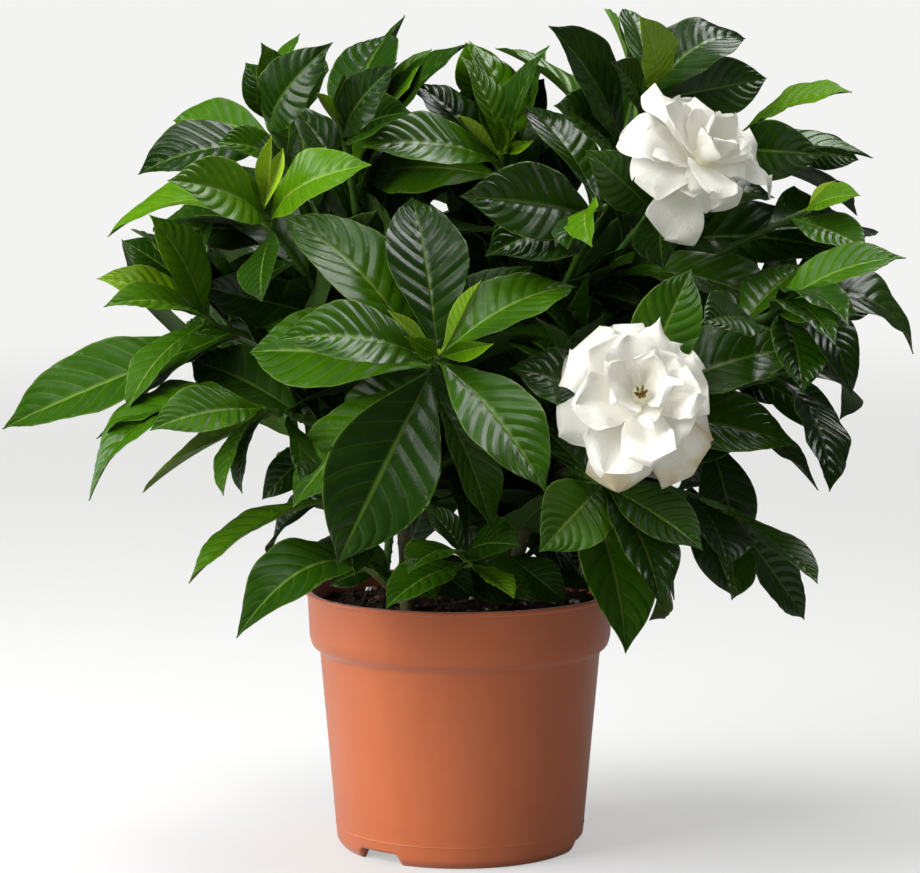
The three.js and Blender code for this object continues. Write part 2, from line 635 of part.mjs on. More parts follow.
// A part of a longer curve, from one place on it to another.
class Stretch extends THREE.Curve {
  constructor(whole, from, to) {
    super();
    this.whole = whole;
    this.from = from;
    this.to = to;
  }

  getPoint(t, target = new THREE.Vector3()) {
    return target.copy(this.whole.getPointAt(THREE.MathUtils.lerp(this.from, this.to, t)));
  }
}

// The way of a branch and its shoot: up out of the cutting's crown, then out to the bud.
function shootPath(crown, bud) {
  const reach = crown.distanceTo(bud);
  const lift = crown.clone().lerp(bud, 0.4).addScaledVector(UP, 0.14 * reach);
  return new THREE.QuadraticBezierCurve3(crown, lift, bud);
}

// The way that a blade's upper face points so that the eye sees it as wide as the picture shows.
function seenNormal(root, tip, width, shown) {
  const along = tip.clone().sub(root).normalize();
  const toEye = EYE.clone().sub(root.clone().lerp(tip, 0.5));
  const distance = toEye.length();
  toEye.normalize();
  const flat = along.clone().cross(toEye).normalize();
  const facing = flat.clone().cross(along);
  const share = Math.min(1, (shown * distance) / VIEW_FOCAL / width);
  const upward = flat.z >= 0 ? 1 : -1;
  return facing.multiplyScalar(share).addScaledVector(flat, upward * Math.sqrt(1 - share ** 2));
}

const MATURE_RATIO = 0.46;
const YOUNG_RATIO = 0.34;

// The blades of a leaf that the picture shows, one for each way that it may bend clear.
function seenBlades(row, index, curve) {
  return ROOT_SHIFTS.flatMap((shift) => bentBlades(row, index, curve.getPointAt(row.at - shift)));
}

function leafBow({ traits }, index) {
  if (traits.includes("young")) return -0.05;
  if (traits.includes("flat")) return 0.02;
  return (traits.includes("arched") ? 0.27 : 0.09) + 0.04 * Math.sin(1.7 * index);
}

function bentBlades(row, index, root) {
  const young = row.traits.includes("young");
  const nominal = reachTo(row.tip, root, row.length, row.traits.includes("far"));
  const scale = EYE.distanceTo(nominal) / VIEW_FOCAL;
  const width = Math.max(row.shown * scale, row.length * (young ? YOUNG_RATIO : MATURE_RATIO));
  const sight = nominal.clone().sub(EYE).normalize();
  return BENDS.map((bend) => {
    const tip = nominal.clone().addScaledVector(sight, bend);
    return {
      root,
      tip,
      normal: seenNormal(root, tip, width, row.shown),
      width,
      bow: leafBow(row, index),
      fold: young ? 0.9 : 0.2,
      twist: 0.25 * Math.sin(2.4 * index),
      outline: leafOutline,
      stations: young ? SPARE_STATIONS : LEAF_STATIONS,
    };
  });
}

// Whether a point lies inside the outline that the bush shows in the picture.
function insideOutline({ x, z }) {
  const across = Math.abs(x - OUTLINE_MIDDLE.x) / OUTLINE_HALF_WIDTH;
  const above = z - OUTLINE_MIDDLE.z;
  if (above < 0) return across - above / OUTLINE_DROP < 1;
  return across ** 2 + (above / OUTLINE_RISE) ** 2 < 1;
}

// One draw of a leaf placed by rule: spiralled round its shoot, leaning out from it.
function drawnLeaf(shoot, index, random) {
  const { curve } = shoot;
  const place = 0.22 + (0.76 * (index + 0.2 + 0.6 * random())) / shoot.fill;
  const angle = GOLDEN_ANGLE * index + 0.7 * random();
  const lean = 0.75 + 0.5 * random();
  const length = 56 + 20 * random();
  const ratio = 0.44 + 0.08 * random();
  const root = curve.getPointAt(place);
  const stem = curve.getTangentAt(place);
  const level = stem.clone().cross(UP).normalize();
  const outward = level.clone().multiplyScalar(Math.cos(angle))
    .addScaledVector(level.clone().cross(stem), Math.sin(angle));
  const along = stem.clone().multiplyScalar(Math.cos(lean))
    .addScaledVector(outward, Math.sin(lean));
  if (shoot.behind !== undefined) along.y = Math.abs(along.y);
  along.z = Math.max(along.z, LOWEST_FILL_SLOPE);
  along.normalize();
  const normal = stem.clone().add(UP).addScaledVector(outward, -0.2);
  normal.addScaledVector(along, -normal.dot(along)).normalize();
  return { root, along, normal, length, width: length * ratio };
}

// The blades of a leaf placed by rule, one for each way that it may bend clear. It is drawn
// again where its tip would stand out of the bush's outline, and given up after some draws.
function filledBlades(shoot, index, random) {
  let draw = null;
  for (let count = 0; count < MOST_DRAWS && draw === null; count += 1) {
    const next = drawnLeaf(shoot, index, random);
    const tip = next.root.clone().addScaledVector(next.along, next.length);
    if (insideOutline(tip)) draw = next;
  }
  if (draw === null) return [];
  const { root, along, normal, length, width } = draw;
  return BENDS.map((bend) => {
    const reach = along.clone().multiplyScalar(length).addScaledVector(normal, bend).normalize();
    const face = normal.clone().addScaledVector(reach, -normal.dot(reach)).normalize();
    return {
      root,
      tip: root.clone().addScaledVector(reach, length),
      normal: face,
      width,
      bow: 0.1,
      fold: 0.22,
      twist: 0.3 * (index % 2) - 0.15,
      outline: leafOutline,
      stations: SPARE_STATIONS,
    };
  });
}

const GOLDEN_ANGLE = 2.4;
const LOWEST_FILL_SLOPE = -0.3;
const MOST_DRAWS = 10;
const OUTLINE_MIDDLE = { x: 14, z: 226 };
const OUTLINE_HALF_WIDTH = 148;
const OUTLINE_RISE = 105;
const OUTLINE_DROP = 180;
const BENDS = [0, -7, 7, -14, 14, -22, 22, -31, 31, -42, 42];
const ROOT_SHIFTS = [0, 0.05, 0.1, 0.16, 0.22];

// The solids that come closer to one than a distance.
function tooNear(solid, others, distance) {
  const box = solid.boundingBox();
  return others.filter((other) => {
    const apart = [0, 1, 2].some((axis) => box.min[axis] - distance > other.box.max[axis]
      || box.max[axis] + distance < other.box.min[axis]);
    return !apart && solid.minGap(other.solid, 2 * distance) < distance;
  });
}

const boxed = (solid) => ({ solid, box: solid.boundingBox() });

// Grows one leaf on its shoot: the blade that stays clear of every other node and crosses the
// fewest of the shoot's own leaves. A leaf whose every blade meets another node isn't grown.
function growLeaf(plant, shoot, blades) {
  const others = plant.fixed.concat(
    ...plant.shoots.filter((other) => other !== shoot).map((other) => other.solids),
  );
  let best = null;
  for (const blade of blades) {
    const solid = bladeSolid(blade);
    if (tooNear(solid, others, CLEAR_OF_OTHERS).length > 0) continue;
    const outer = bladeSolid(blade, true);
    const crossed = tooNear(outer, shoot.blades, CLEAR_OF_OWN).length;
    if (best === null || crossed < best.crossed) best = { solid, outer, crossed };
    if (crossed === 0) break;
  }
  if (best === null) return false;
  shoot.solids.push(boxed(best.solid));
  shoot.blades.push(boxed(best.outer));
  return true;
}

// A bloom's own frame: the way it faces, its upward direction and its right-hand one.
function bloomFrame(facing) {
  const forward = vector(...facing).normalize();
  const upward = UP.clone().addScaledVector(forward, -UP.dot(forward)).normalize();
  return { forward, upward, right: upward.clone().cross(forward) };
}

// Every other petal lies over its neighbours.
function petalBlade({ clock, open, length, width, whorl }, index, frame, foot) {
  const over = index % 2;
  const turn = THREE.MathUtils.degToRad(clock);
  const lean = THREE.MathUtils.degToRad(open - OVERLAP_LEAN * over);
  const outward = frame.upward.clone().multiplyScalar(Math.cos(turn))
    .addScaledVector(frame.right, Math.sin(turn));
  const along = frame.forward.clone().multiplyScalar(Math.cos(lean))
    .addScaledVector(outward, Math.sin(lean));
  const rise = LOWEST_PETAL + WHORL_RISE * whorl + OVERLAP_RISE * over;
  const root = foot.clone().addScaledVector(frame.forward, rise);
  return {
    root,
    tip: root.clone().addScaledVector(along, length),
    normal: frame.forward.clone().multiplyScalar(Math.sin(lean))
      .addScaledVector(outward, -Math.cos(lean)),
    width,
    ...PETAL_FORMS[whorl],
    twist: 0,
    outline: petalOutline,
    stations: PETAL_STATIONS,
    ridged: true,
  };
}

// A straight round piece along a bloom's axis, between two distances from its foot.
function axisPiece(frame, foot, from, to, radiusFrom, radiusTo, sides) {
  const line = new THREE.LineCurve3(
    foot.clone().addScaledVector(frame.forward, from),
    foot.clone().addScaledVector(frame.forward, to),
  );
  return stemSolid(line, radiusFrom, radiusTo, 1, sides);
}

// The core with its petals, cut clear of the eye. Chips that the cut leaves loose are dropped.
function makeBloom(petals, frame, foot) {
  const core = axisPiece(frame, foot, SEAT_GAP, CORE_HEIGHT, CORE_RADIUS, CORE_RADIUS - 1, 8);
  const blades = petals.map((row, index) => bladeSolid(petalBlade(row, index, frame, foot)));
  const roomRadius = EYE_RADIUS + SEAT_GAP;
  const eyeTop = CORE_HEIGHT + SEAT_GAP + EYE_HEIGHT;
  const eyeRoom = axisPiece(frame, foot, CORE_HEIGHT, eyeTop + SEAT_GAP, roomRadius, roomRadius, 8);
  return largestBody(wasm.Manifold.union([core, ...blades]).subtract(eyeRoom));
}

function makeEye(frame, foot) {
  const from = CORE_HEIGHT + SEAT_GAP;
  return axisPiece(frame, foot, from, from + EYE_HEIGHT, EYE_RADIUS, EYE_RADIUS * 0.6, 8);
}

// The green cup behind a bloom, with its sepals laid back along the stem.
function makeCalyx(frame, foot) {
  const cup = axisPiece(frame, foot, -CUP_DEPTH, 0, 1.6, CORE_RADIUS, 8);
  const sepals = [];
  for (let k = 0; k < SEPALS; k += 1) {
    const turn = (2 * Math.PI * k) / SEPALS;
    const outward = frame.upward.clone().multiplyScalar(Math.cos(turn))
      .addScaledVector(frame.right, Math.sin(turn));
    const root = foot.clone().addScaledVector(frame.forward, -2.5);
    const along = outward.clone().multiplyScalar(0.75).addScaledVector(frame.forward, -0.66);
    sepals.push(bladeSolid({
      root,
      tip: root.clone().addScaledVector(along, 15),
      normal: outward.clone().multiplyScalar(0.66).addScaledVector(frame.forward, 0.75),
      width: 4.2,
      bow: 0.08,
      fold: 0.2,
      twist: 0,
      outline: leafOutline,
    }));
  }
  return [cup, ...sepals];
}

// One node each: the cuttings with their woody branches, the green shoots and the blooms.
// They all keep clear of the pot and the soil.
function growPlant(pot, soil) {
  const cuttings = CUTTINGS.map((cutting) => ({
    ...cutting,
    crownPoint: vector(...cutting.crown),
    solids: [],
  }));
  for (const cutting of cuttings) {
    const [x, y] = cutting.at;
    const collar = vector(x, y, SOIL_TOP + 4);
    const rooted = new THREE.LineCurve3(
      vector(x, y, SOIL_TOP - ROOTED_DEPTH),
      collar.clone().addScaledVector(UP, 1),
    );
    const trunk = new THREE.QuadraticBezierCurve3(
      collar,
      collar.clone().addScaledVector(UP, 20),
      cutting.crownPoint.clone().addScaledVector(UP, 2),
    );
    cutting.solids.push(stemSolid(rooted, CUTTING_RADIUS, CUTTING_RADIUS, 1));
    cutting.solids.push(stemSolid(trunk, CUTTING_RADIUS - 0.1, BRANCH_RADIUS + 0.5, 4));
  }

  const shoots = [...SHOOTS, ...BACK_SHOOTS].map((row) => {
    const foot = row.budAt ? vector(...row.budAt) : seenAt(row.bud, row.behind);
    const cutting = cuttings[row.cutting];
    const bud = row.facing
      ? foot.clone().addScaledVector(bloomFrame(row.facing).forward, -STALK_END)
      : foot;
    const whole = shootPath(cutting.crownPoint, bud);
    const gap = SEAT_GAP / whole.getLength();
    const branch = new Stretch(whole, 0, SHOOT_START);
    const curve = new Stretch(whole, SHOOT_START + gap, 1);
    cutting.solids.push(stemSolid(branch, BRANCH_RADIUS, BRANCH_RADIUS, 1, 5));
    const stem = stemSolid(curve, SHOOT_BASE_RADIUS, SHOOT_TIP_RADIUS, 3, 5);
    return { ...row, foot, curve, solids: [boxed(stem)], blades: [] };
  });

  const plant = { shoots, fixed: [boxed(pot), boxed(soil)], nodes: [] };
  for (const cutting of cuttings) {
    const solid = wasm.Manifold.union(cutting.solids);
    plant.fixed.push(...cutting.solids.map(boxed));
    plant.nodes.push({ name: cutting.name, solid, colour: "bark" });
  }
  for (const shoot of shoots.filter((one) => one.bloom)) {
    const frame = bloomFrame(shoot.facing);
    const bloom = makeBloom(BLOOMS[shoot.bloom], frame, shoot.foot);
    const eye = makeEye(frame, shoot.foot);
    shoot.solids.push(...makeCalyx(frame, shoot.foot).map(boxed));
    plant.fixed.push(boxed(bloom));
    plant.nodes.push({ name: shoot.bloom, solid: bloom, colour: "petal" });
    plant.nodes.push({ name: `${shoot.bloom}_eye`, solid: eye, colour: "eye" });
  }
  growLeaves(plant);
  for (const shoot of shoots) {
    const solid = wasm.Manifold.union(shoot.solids.map((one) => one.solid));
    plant.nodes.push({ name: shoot.name, solid, colour: "leaf" });
  }
  return plant.nodes;
}

// The seen leaves take their places first. Each shoot then draws its other leaves from a seed
// of its own, so that a change to one shoot leaves the others as they are.
function growLeaves(plant) {
  for (const shoot of plant.shoots) {
    for (const [index, row] of (shoot.leaves ?? []).entries()) {
      growLeaf(plant, shoot, seenBlades(row, index, shoot.curve));
    }
  }
  for (const [number, shoot] of plant.shoots.entries()) {
    const random = randomSource(RANDOM_SEED + number);
    for (let index = 0; index < shoot.fill; index += 1) {
      growLeaf(plant, shoot, filledBlades(shoot, index, random));
    }
  }
}

const MATERIALS = {
  pot: { color: 0xb5674a, roughness: 0.5, metalness: 0 },
  soil: { color: 0x2b1f17, roughness: 1, metalness: 0 },
  bark: { color: 0x6f6a3c, roughness: 0.85, metalness: 0 },
  leaf: { color: 0x2f6b14, roughness: 0.35, metalness: 0 },
  petal: { color: 0xf5f3ea, roughness: 0.6, metalness: 0 },
  eye: { color: 0xa58a3a, roughness: 0.7, metalness: 0 },
};

const pot = makePot();
const soil = makeSoil();
const pieces = [
  { name: "pot", solid: pot, colour: "pot" },
  { name: "soil", solid: soil, colour: "soil" },
  ...growPlant(pot, soil),
];

const plantInPot = new THREE.Group();
for (const { name, solid, colour } of pieces) {
  const material = new THREE.MeshStandardMaterial({ ...MATERIALS[colour], flatShading: true });
  const mesh = new THREE.Mesh(fromManifold(solid), material);
  mesh.name = name;
  plantInPot.add(mesh);
}

const extent = new THREE.Box3().setFromObject(plantInPot);
const middle = extent.getCenter(new THREE.Vector3());
plantInPot.position.set(-middle.x, -middle.y, 0);

export default plantInPot;
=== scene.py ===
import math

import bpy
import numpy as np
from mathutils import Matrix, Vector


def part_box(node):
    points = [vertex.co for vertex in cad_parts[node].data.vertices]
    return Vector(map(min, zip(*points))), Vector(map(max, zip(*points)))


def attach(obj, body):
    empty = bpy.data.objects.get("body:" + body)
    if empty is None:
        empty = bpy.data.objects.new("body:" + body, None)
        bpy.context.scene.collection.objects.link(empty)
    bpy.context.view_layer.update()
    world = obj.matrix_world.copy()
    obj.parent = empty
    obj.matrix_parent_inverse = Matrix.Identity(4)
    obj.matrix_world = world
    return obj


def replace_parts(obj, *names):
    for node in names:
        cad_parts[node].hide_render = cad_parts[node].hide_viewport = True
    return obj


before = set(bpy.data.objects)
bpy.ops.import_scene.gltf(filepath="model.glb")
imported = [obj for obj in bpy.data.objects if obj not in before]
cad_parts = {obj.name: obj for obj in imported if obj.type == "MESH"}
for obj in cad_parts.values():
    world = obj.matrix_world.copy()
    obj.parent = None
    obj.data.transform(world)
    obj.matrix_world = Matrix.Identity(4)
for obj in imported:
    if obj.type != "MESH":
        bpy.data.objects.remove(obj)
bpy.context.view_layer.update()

# %% [markdown]
# # A potted gardenia
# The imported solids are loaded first. They are the frame: they say where the pot, the soil, the
# woody stems, the leafy shoots and the blooms stand, and how large they are. This script gives
# each of them a finer surface in the same place, and a finish.
#
# All plant measures are in millimetres from the pot's axis, because that is how a grower would
# measure them. One helper turns them into Blender's metres.

pot_low, pot_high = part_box("pot")
POT_AXIS = np.array([(pot_low[0] + pot_high[0]) / 2, (pot_low[1] + pot_high[1]) / 2, 0.0])


def metres(points):
    """Millimetres round the pot's axis, as metres in Blender's frame."""
    return np.asarray(points, float) / 1000 + POT_AXIS


print("pot axis at", POT_AXIS.round(4))

# %% [markdown]
# ## The camera
# The photograph was taken from a little over a metre away with a long lens, from above the rim
# and tipped down by a few degrees. The three ellipses of the pot (rim, collar step and foot) are
# enough to work that out. The same figures turn a place in the picture into a line of sight,
# which is how the large leaves get their places.

# %% The camera
EYE = np.array([0.0, -1150.0, 274.0])
PITCH = math.radians(5.68)
FOCAL_PIXELS = 2981.0
PICTURE_WIDTH = 920
PICTURE_MIDDLE = np.array([460.5, 436.5])
SENSOR_WIDTH = 36

camera = bpy.data.objects.new("camera", bpy.data.cameras.new("camera"))
bpy.context.collection.objects.link(camera)
camera.location = metres(EYE)
camera.rotation_euler = (math.pi / 2 - PITCH, 0, 0)
camera.data.sensor_width = SENSOR_WIDTH
camera.data.lens = SENSOR_WIDTH * FOCAL_PIXELS / PICTURE_WIDTH
camera.data.clip_start = 0.05
bpy.context.scene.camera = camera
print("lens", round(camera.data.lens, 1), "mm")


# %% Lines of sight
def unit(v):
    """A vector, or each vector in an array, divided by its length."""
    v = np.asarray(v, float)
    return v / np.linalg.norm(v, axis=-1, keepdims=True)


def ray_through(place):
    """The direction from the eye through a place in the picture, tipped down by the pitch."""
    across, down = (np.asarray(place, float) - PICTURE_MIDDLE) / FOCAL_PIXELS
    cos, sin = math.cos(PITCH), math.sin(PITCH)
    return unit([across, cos - down * sin, -sin - down * cos])


def seen_at(place, behind):
    """The point on that line at a distance behind (+) or before (-) the pot's axis."""
    ray = ray_through(place)
    return EYE + ray * (behind - EYE[1]) / ray[1]


def reach_to(place, base, length, far):
    """The point on that line at a given length from a base: the nearer or the farther of two."""
    ray = ray_through(place)
    foot = EYE + ray * np.dot(base - EYE, ray)
    spare = length**2 - np.sum((foot - base) ** 2)
    shift = math.sqrt(spare) if spare > 0 else 0.0
    return foot + ray * (shift if far else -shift)


# %% [markdown]
# ## Nodes that read like formulas
# Each finish, the floor and the surroundings are small networks of shader nodes. Made one by
# one, nodes and links fill pages. So a few helpers each make one node, set or link its inputs
# and give back its output, and a network can be written as a formula.

# %% Node helpers
def feed(tree, socket, value):
    """Links a socket to another node's output, or sets it to a plain value."""
    if isinstance(value, bpy.types.NodeSocket):
        tree.links.new(value, socket)
    elif value is not None:
        socket.default_value = value


def new_node(tree, kind, **inputs):
    """A shader node of one kind. Its inputs go by their labels, with _ for each space."""
    node = tree.nodes.new("ShaderNode" + kind)
    for label, value in inputs.items():
        feed(tree, node.inputs[label.replace("_", " ")], value)
    return node


def either(tree, share, first, second):
    """A mix of two shaders: the first where the share is 0, the second where it is 1."""
    node = new_node(tree, "MixShader", Fac=share)
    feed(tree, node.inputs[1], first)
    feed(tree, node.inputs[2], second)
    return node.outputs[0]


def calc(tree, operation, a, b=None, c=None, clamp=False):
    """One Math node, with its inputs linked or set."""
    node = new_node(tree, "Math")
    node.operation = operation
    node.use_clamp = clamp
    for socket, value in zip(node.inputs, (a, b, c)):
        feed(tree, socket, value)
    return node.outputs[0]


def product(tree, *factors):
    """Numbers multiplied together."""
    total = factors[0]
    for factor in factors[1:]:
        total = calc(tree, "MULTIPLY", total, factor)
    return total


def smooth_step(tree, value, low, high):
    """0 below low, 1 above high, and a smooth rise between them."""
    node = new_node(tree, "MapRange", Value=value, From_Min=low, From_Max=high)
    node.interpolation_type = "SMOOTHSTEP"
    return node.outputs["Result"]


def noise(tree, where, scale, detail=3.0, roughness=0.55):
    """One Noise node's value over a pattern coordinate."""
    node = new_node(tree, "TexNoise", Vector=where, Scale=scale, Detail=detail, Roughness=roughness)
    return node.outputs["Fac"]


def mixed(tree, share, a, b):
    """A colour between a and b."""
    node = new_node(tree, "Mix")
    node.data_type = "RGBA"
    feed(tree, node.inputs["Factor"], share)
    for label, value in (("A", a), ("B", b)):
        socket = next(s for s in node.inputs if s.name == label and s.type == "RGBA")
        feed(tree, socket, (*value, 1) if isinstance(value, tuple) else value)
    return next(s for s in node.outputs if s.type == "RGBA")


def bumped(tree, height, distance, strength=1.0):
    """A Bump node's normal for a height in units of that distance, in metres."""
    bump = new_node(tree, "Bump", Strength=strength, Distance=distance, Height=height)
    return bump.outputs["Normal"]


def stretched(tree, where, scale):
    """The pattern coordinate, stretched along its axes."""
    return new_node(tree, "Mapping", Vector=where, Scale=scale).outputs["Vector"]


def attribute(tree, name):
    """The value that each point or face carries under a name."""
    node = new_node(tree, "Attribute")
    node.attribute_name = name
    return node.outputs["Fac"]


def pattern_map(tree):
    """The pattern coordinate that each face's corners carry."""
    node = new_node(tree, "UVMap")
    node.uv_map = "pattern"
    return node.outputs["UV"]


def new_material(name, base=(1, 1, 1), **constants):
    """A node material, its tree and its Object coordinates. What is the same all over goes
    straight onto its shader's sockets."""
    material = bpy.data.materials.new(name)
    material.use_nodes = True
    tree = material.node_tree
    sockets = tree.nodes["Principled BSDF"].inputs
    sockets["Base Color"].default_value = (*base, 1)
    for label, value in constants.items():
        sockets[label.replace("_", " ")].default_value = value
    return material, tree, new_node(tree, "TexCoord").outputs["Object"]


def dress(tree, **looks):
    """Links what was worked out to the sockets of the material's own shader."""
    sockets = tree.nodes["Principled BSDF"].inputs
    for label, value in looks.items():
        feed(tree, sockets[label.replace("_", " ")], value)


# %% [markdown]
# ## Floor and light
# A plain pale floor runs out to the horizon, so that it shows the same from every side, and from
# three metres on it fades into the pale of the surroundings. Both it and the surroundings light
# the plant less than they show, so the gaps among the leaves go nearly black, as in the
# photograph.
#
# The pot's shading gives the light away: brightest well round to its left, so the large soft box
# stands there, with another overhead for the leaves. Those two light only the matt colours. Six
# smaller ones are seen in gloss alone. They make the whitish bands between the veins of a leaf,
# and each stands where leaves that shine in the photograph would mirror it.

# %% The floor
PALE = (0.9, 0.9, 0.89, 1)
GIVEN_BACK = (0.34, 0.34, 0.33, 1)

bpy.ops.mesh.primitive_circle_add(vertices=64, radius=30, fill_type="NGON")
floor = bpy.context.object
floor.name = "floor"
floor_material, tree, where = new_material("pale_floor", (0.8, 0.8, 0.79), Roughness=0.8)
distance = new_node(tree, "VectorMath")
distance.operation = "LENGTH"
feed(tree, distance.inputs[0], where)
fade = new_node(tree, "MapRange", Value=distance.outputs["Value"],
                From_Min=0.3, From_Max=3.0, To_Min=0.5, To_Max=1.0)
glow = new_node(tree, "Emission", Color=PALE)
matt = tree.nodes["Principled BSDF"]
seen = either(tree, fade.outputs["Result"], matt.outputs[0], glow.outputs[0])
lighting = new_node(tree, "BsdfDiffuse", Color=GIVEN_BACK)
to_camera = new_node(tree, "LightPath").outputs["Is Camera Ray"]
surface = either(tree, to_camera, lighting.outputs[0], seen)
feed(tree, tree.nodes["Material Output"].inputs["Surface"], surface)
floor.data.materials.append(floor_material)


# %% The lights
def soft_box(name, place, size, watts, seen_in):
    """A square area light that looks at the bush's middle. It is seen in "diffuse", the matt
    colours, or in "gloss". Places are in mm round the pot's axis."""
    data = bpy.data.lights.new(name, "AREA")
    data.size = size / 1000
    data.energy = watts
    lamp = bpy.data.objects.new(name, data)
    bpy.context.collection.objects.link(lamp)
    lamp.location = metres(place)
    look = Vector(metres(LOOKED_AT) - metres(place))
    lamp.rotation_euler = look.to_track_quat("-Z", "Y").to_euler()
    lamp.visible_diffuse = seen_in == "diffuse"
    lamp.visible_glossy = seen_in == "gloss"


LOOKED_AT = (0, 0, 190)
KEY_PLACE = (-1250, -620, 820)
OVERHEAD_PLACE = (-250, -150, 1500)
BOXES = [("key", KEY_PLACE, 1200, 37, "diffuse"),
         ("key_sheen", KEY_PLACE, 620, 4.6, "gloss"),
         ("overhead", OVERHEAD_PLACE, 800, 15, "diffuse"),
         ("overhead_sheen", OVERHEAD_PLACE, 450, 6, "gloss"),
         ("back_sheen", (430, 420, 1350), 600, 7.5, "gloss"),
         ("front_sheen", (150, -700, 1500), 480, 3.6, "gloss"),
         ("side_sheen", (930, 80, 1240), 420, 4.5, "gloss"),
         ("left_sheen", (-1380, 240, 330), 800, 7, "gloss")]
for box in BOXES:
    soft_box(*box)
print("soft boxes:", len(BOXES))

# %% The surroundings
WHITE = (1, 1, 1, 1)
world = bpy.data.worlds.new("studio")
bpy.context.scene.world = world
world.use_nodes = True
sky = world.node_tree
sky.nodes.clear()
rays = new_node(sky, "LightPath").outputs
surroundings = new_node(sky, "Background", Color=WHITE, Strength=0.36).outputs[0]
for ray, colour, strength in (("Is Glossy Ray", WHITE, 0.04), ("Is Camera Ray", PALE, 1.0)):
    pane = new_node(sky, "Background", Color=colour, Strength=strength).outputs[0]
    surroundings = either(sky, rays[ray], surroundings, pane)
feed(sky, new_node(sky, "OutputWorld").inputs["Surface"], surroundings)
bpy.context.scene.view_settings.view_transform = "Standard"


# %% [markdown]
# ## From arrays to a mesh
# Every surface below is worked out as whole arrays. A surface is a grid of points, and its faces
# are found by counting along the grid. `Faces` keeps one batch of faces with what they carry: a
# material, a pattern coordinate for each corner, and whether they lie on a blade's underside.
# One call then hands it all to Blender.

# %% Faces
def grid_faces(rows, columns, closed_columns):
    """The four corners of each cell of a grid whose points are numbered row by row."""
    last = columns if closed_columns else columns - 1
    row, column = np.meshgrid(np.arange(rows - 1), np.arange(last), indexing="ij")
    after = (column + 1) % columns
    corners = [row * columns + column, (row + 1) * columns + column,
               (row + 1) * columns + after, row * columns + after]
    return np.stack(corners, axis=-1).reshape(-1, 4)


def fan(first, count, apex):
    """The triangles between a closed ring of points, numbered from first, and an apex."""
    k = np.arange(count)
    return np.stack([first + k, np.full(count, apex), first + (k + 1) % count], axis=-1)


class Faces:
    """A batch of faces with as many corners each, and what belongs to them."""

    def __init__(self, corners, material=0, uv=None, under=0.0):
        self.corners = np.asarray(corners)
        count, size = self.corners.shape
        self.sizes = np.full(count, size)
        self.material = np.full(count, material)
        self.uv = np.zeros((count, size, 2)) if uv is None else uv
        self.under = np.broadcast_to(np.asarray(under, float), (count,))

    def moved(self, step):
        """The same faces, with every corner's number raised by a step."""
        return Faces(self.corners + step, self.material[0], self.uv, self.under)

    def flipped(self):
        """The same faces, turned over."""
        return Faces(self.corners[:, ::-1], self.material[0], self.uv[:, ::-1], self.under)


def volume(points, batches):
    """The signed volume that the faces enclose, in cubic mm. It is positive where they all
    face outwards: the sum of each fan triangle's volume towards the origin."""
    total = 0.0
    for batch in batches:
        first = points[batch.corners[:, 0]]
        for k in range(1, batch.corners.shape[1] - 1):
            second, third = points[batch.corners[:, k]], points[batch.corners[:, k + 1]]
            total += np.sum(first * np.cross(second, third)) / 6
    return total


def facing_out(points, batches):
    """The faces of a closed part, turned over where they faced inwards."""
    return [batch.flipped() for batch in batches] if volume(points, batches) < 0 else batches


# %% The mesh maker
def make_piece(name, points, batches, materials, values=None):
    """Puts the points, in mm round the pot's axis, and the faces into a smooth mesh that rides
    on the plant's one body."""
    def joined(key):
        return np.concatenate([np.ravel(getattr(batch, key)) for batch in batches])

    corners, sizes = joined("corners"), joined("sizes")
    mesh = bpy.data.meshes.new(name)
    mesh.vertices.add(len(points))
    mesh.vertices.foreach_set("co", metres(points).ravel())
    mesh.loops.add(len(corners))
    mesh.loops.foreach_set("vertex_index", corners)
    mesh.polygons.add(len(sizes))
    mesh.polygons.foreach_set("loop_start", np.concatenate([[0], np.cumsum(sizes)[:-1]]))
    mesh.polygons.foreach_set("material_index", joined("material"))
    mesh.polygons.foreach_set("use_smooth", np.ones(len(sizes), bool))
    mesh.uv_layers.new(name="pattern").uv.foreach_set("vector", joined("uv"))
    mesh.attributes.new("under", "FLOAT", "FACE").data.foreach_set("value", joined("under"))
    for key, numbers in (values or {}).items():
        mesh.attributes.new(key, "FLOAT", "POINT").data.foreach_set("value", numbers)
    mesh.update()
    for material in materials:
        mesh.materials.append(material)
    piece = bpy.data.objects.new(name, mesh)
    bpy.context.collection.objects.link(piece)
    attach(piece, "root")
    return piece


# %% [markdown]
# ## Shared effects
# Three effects are made as node groups: fine mottling of a colour, which nearly every finish
# uses, a crumbly relief for all that lies in the pot, and the veins of a blade. A group only
# puts out masks and heights. The shader that uses them stays in the material.

# %% Groups
def new_group(name, inputs, outputs):
    """An empty shader node group: its tree, the values given to it and the sockets of its
    results. An input is a float with a default, or has a socket type of its own."""
    group = bpy.data.node_groups.new(name, "ShaderNodeTree")
    for label, value in inputs:
        kind = value if isinstance(value, str) else "NodeSocketFloat"
        socket = group.interface.new_socket(label, in_out="INPUT", socket_type=kind)
        if kind == "NodeSocketFloat":
            socket.default_value = value
    for label in outputs:
        group.interface.new_socket(label, in_out="OUTPUT", socket_type="NodeSocketFloat")
    given, results = group.nodes.new("NodeGroupInput"), group.nodes.new("NodeGroupOutput")
    return group, given.outputs, results.inputs


def placed(tree, group, **values):
    """A group placed in a material, with its inputs linked or set."""
    node = new_node(tree, "Group")
    node.node_tree = group
    for label, value in values.items():
        feed(tree, node.inputs[label], value)
    return node.outputs


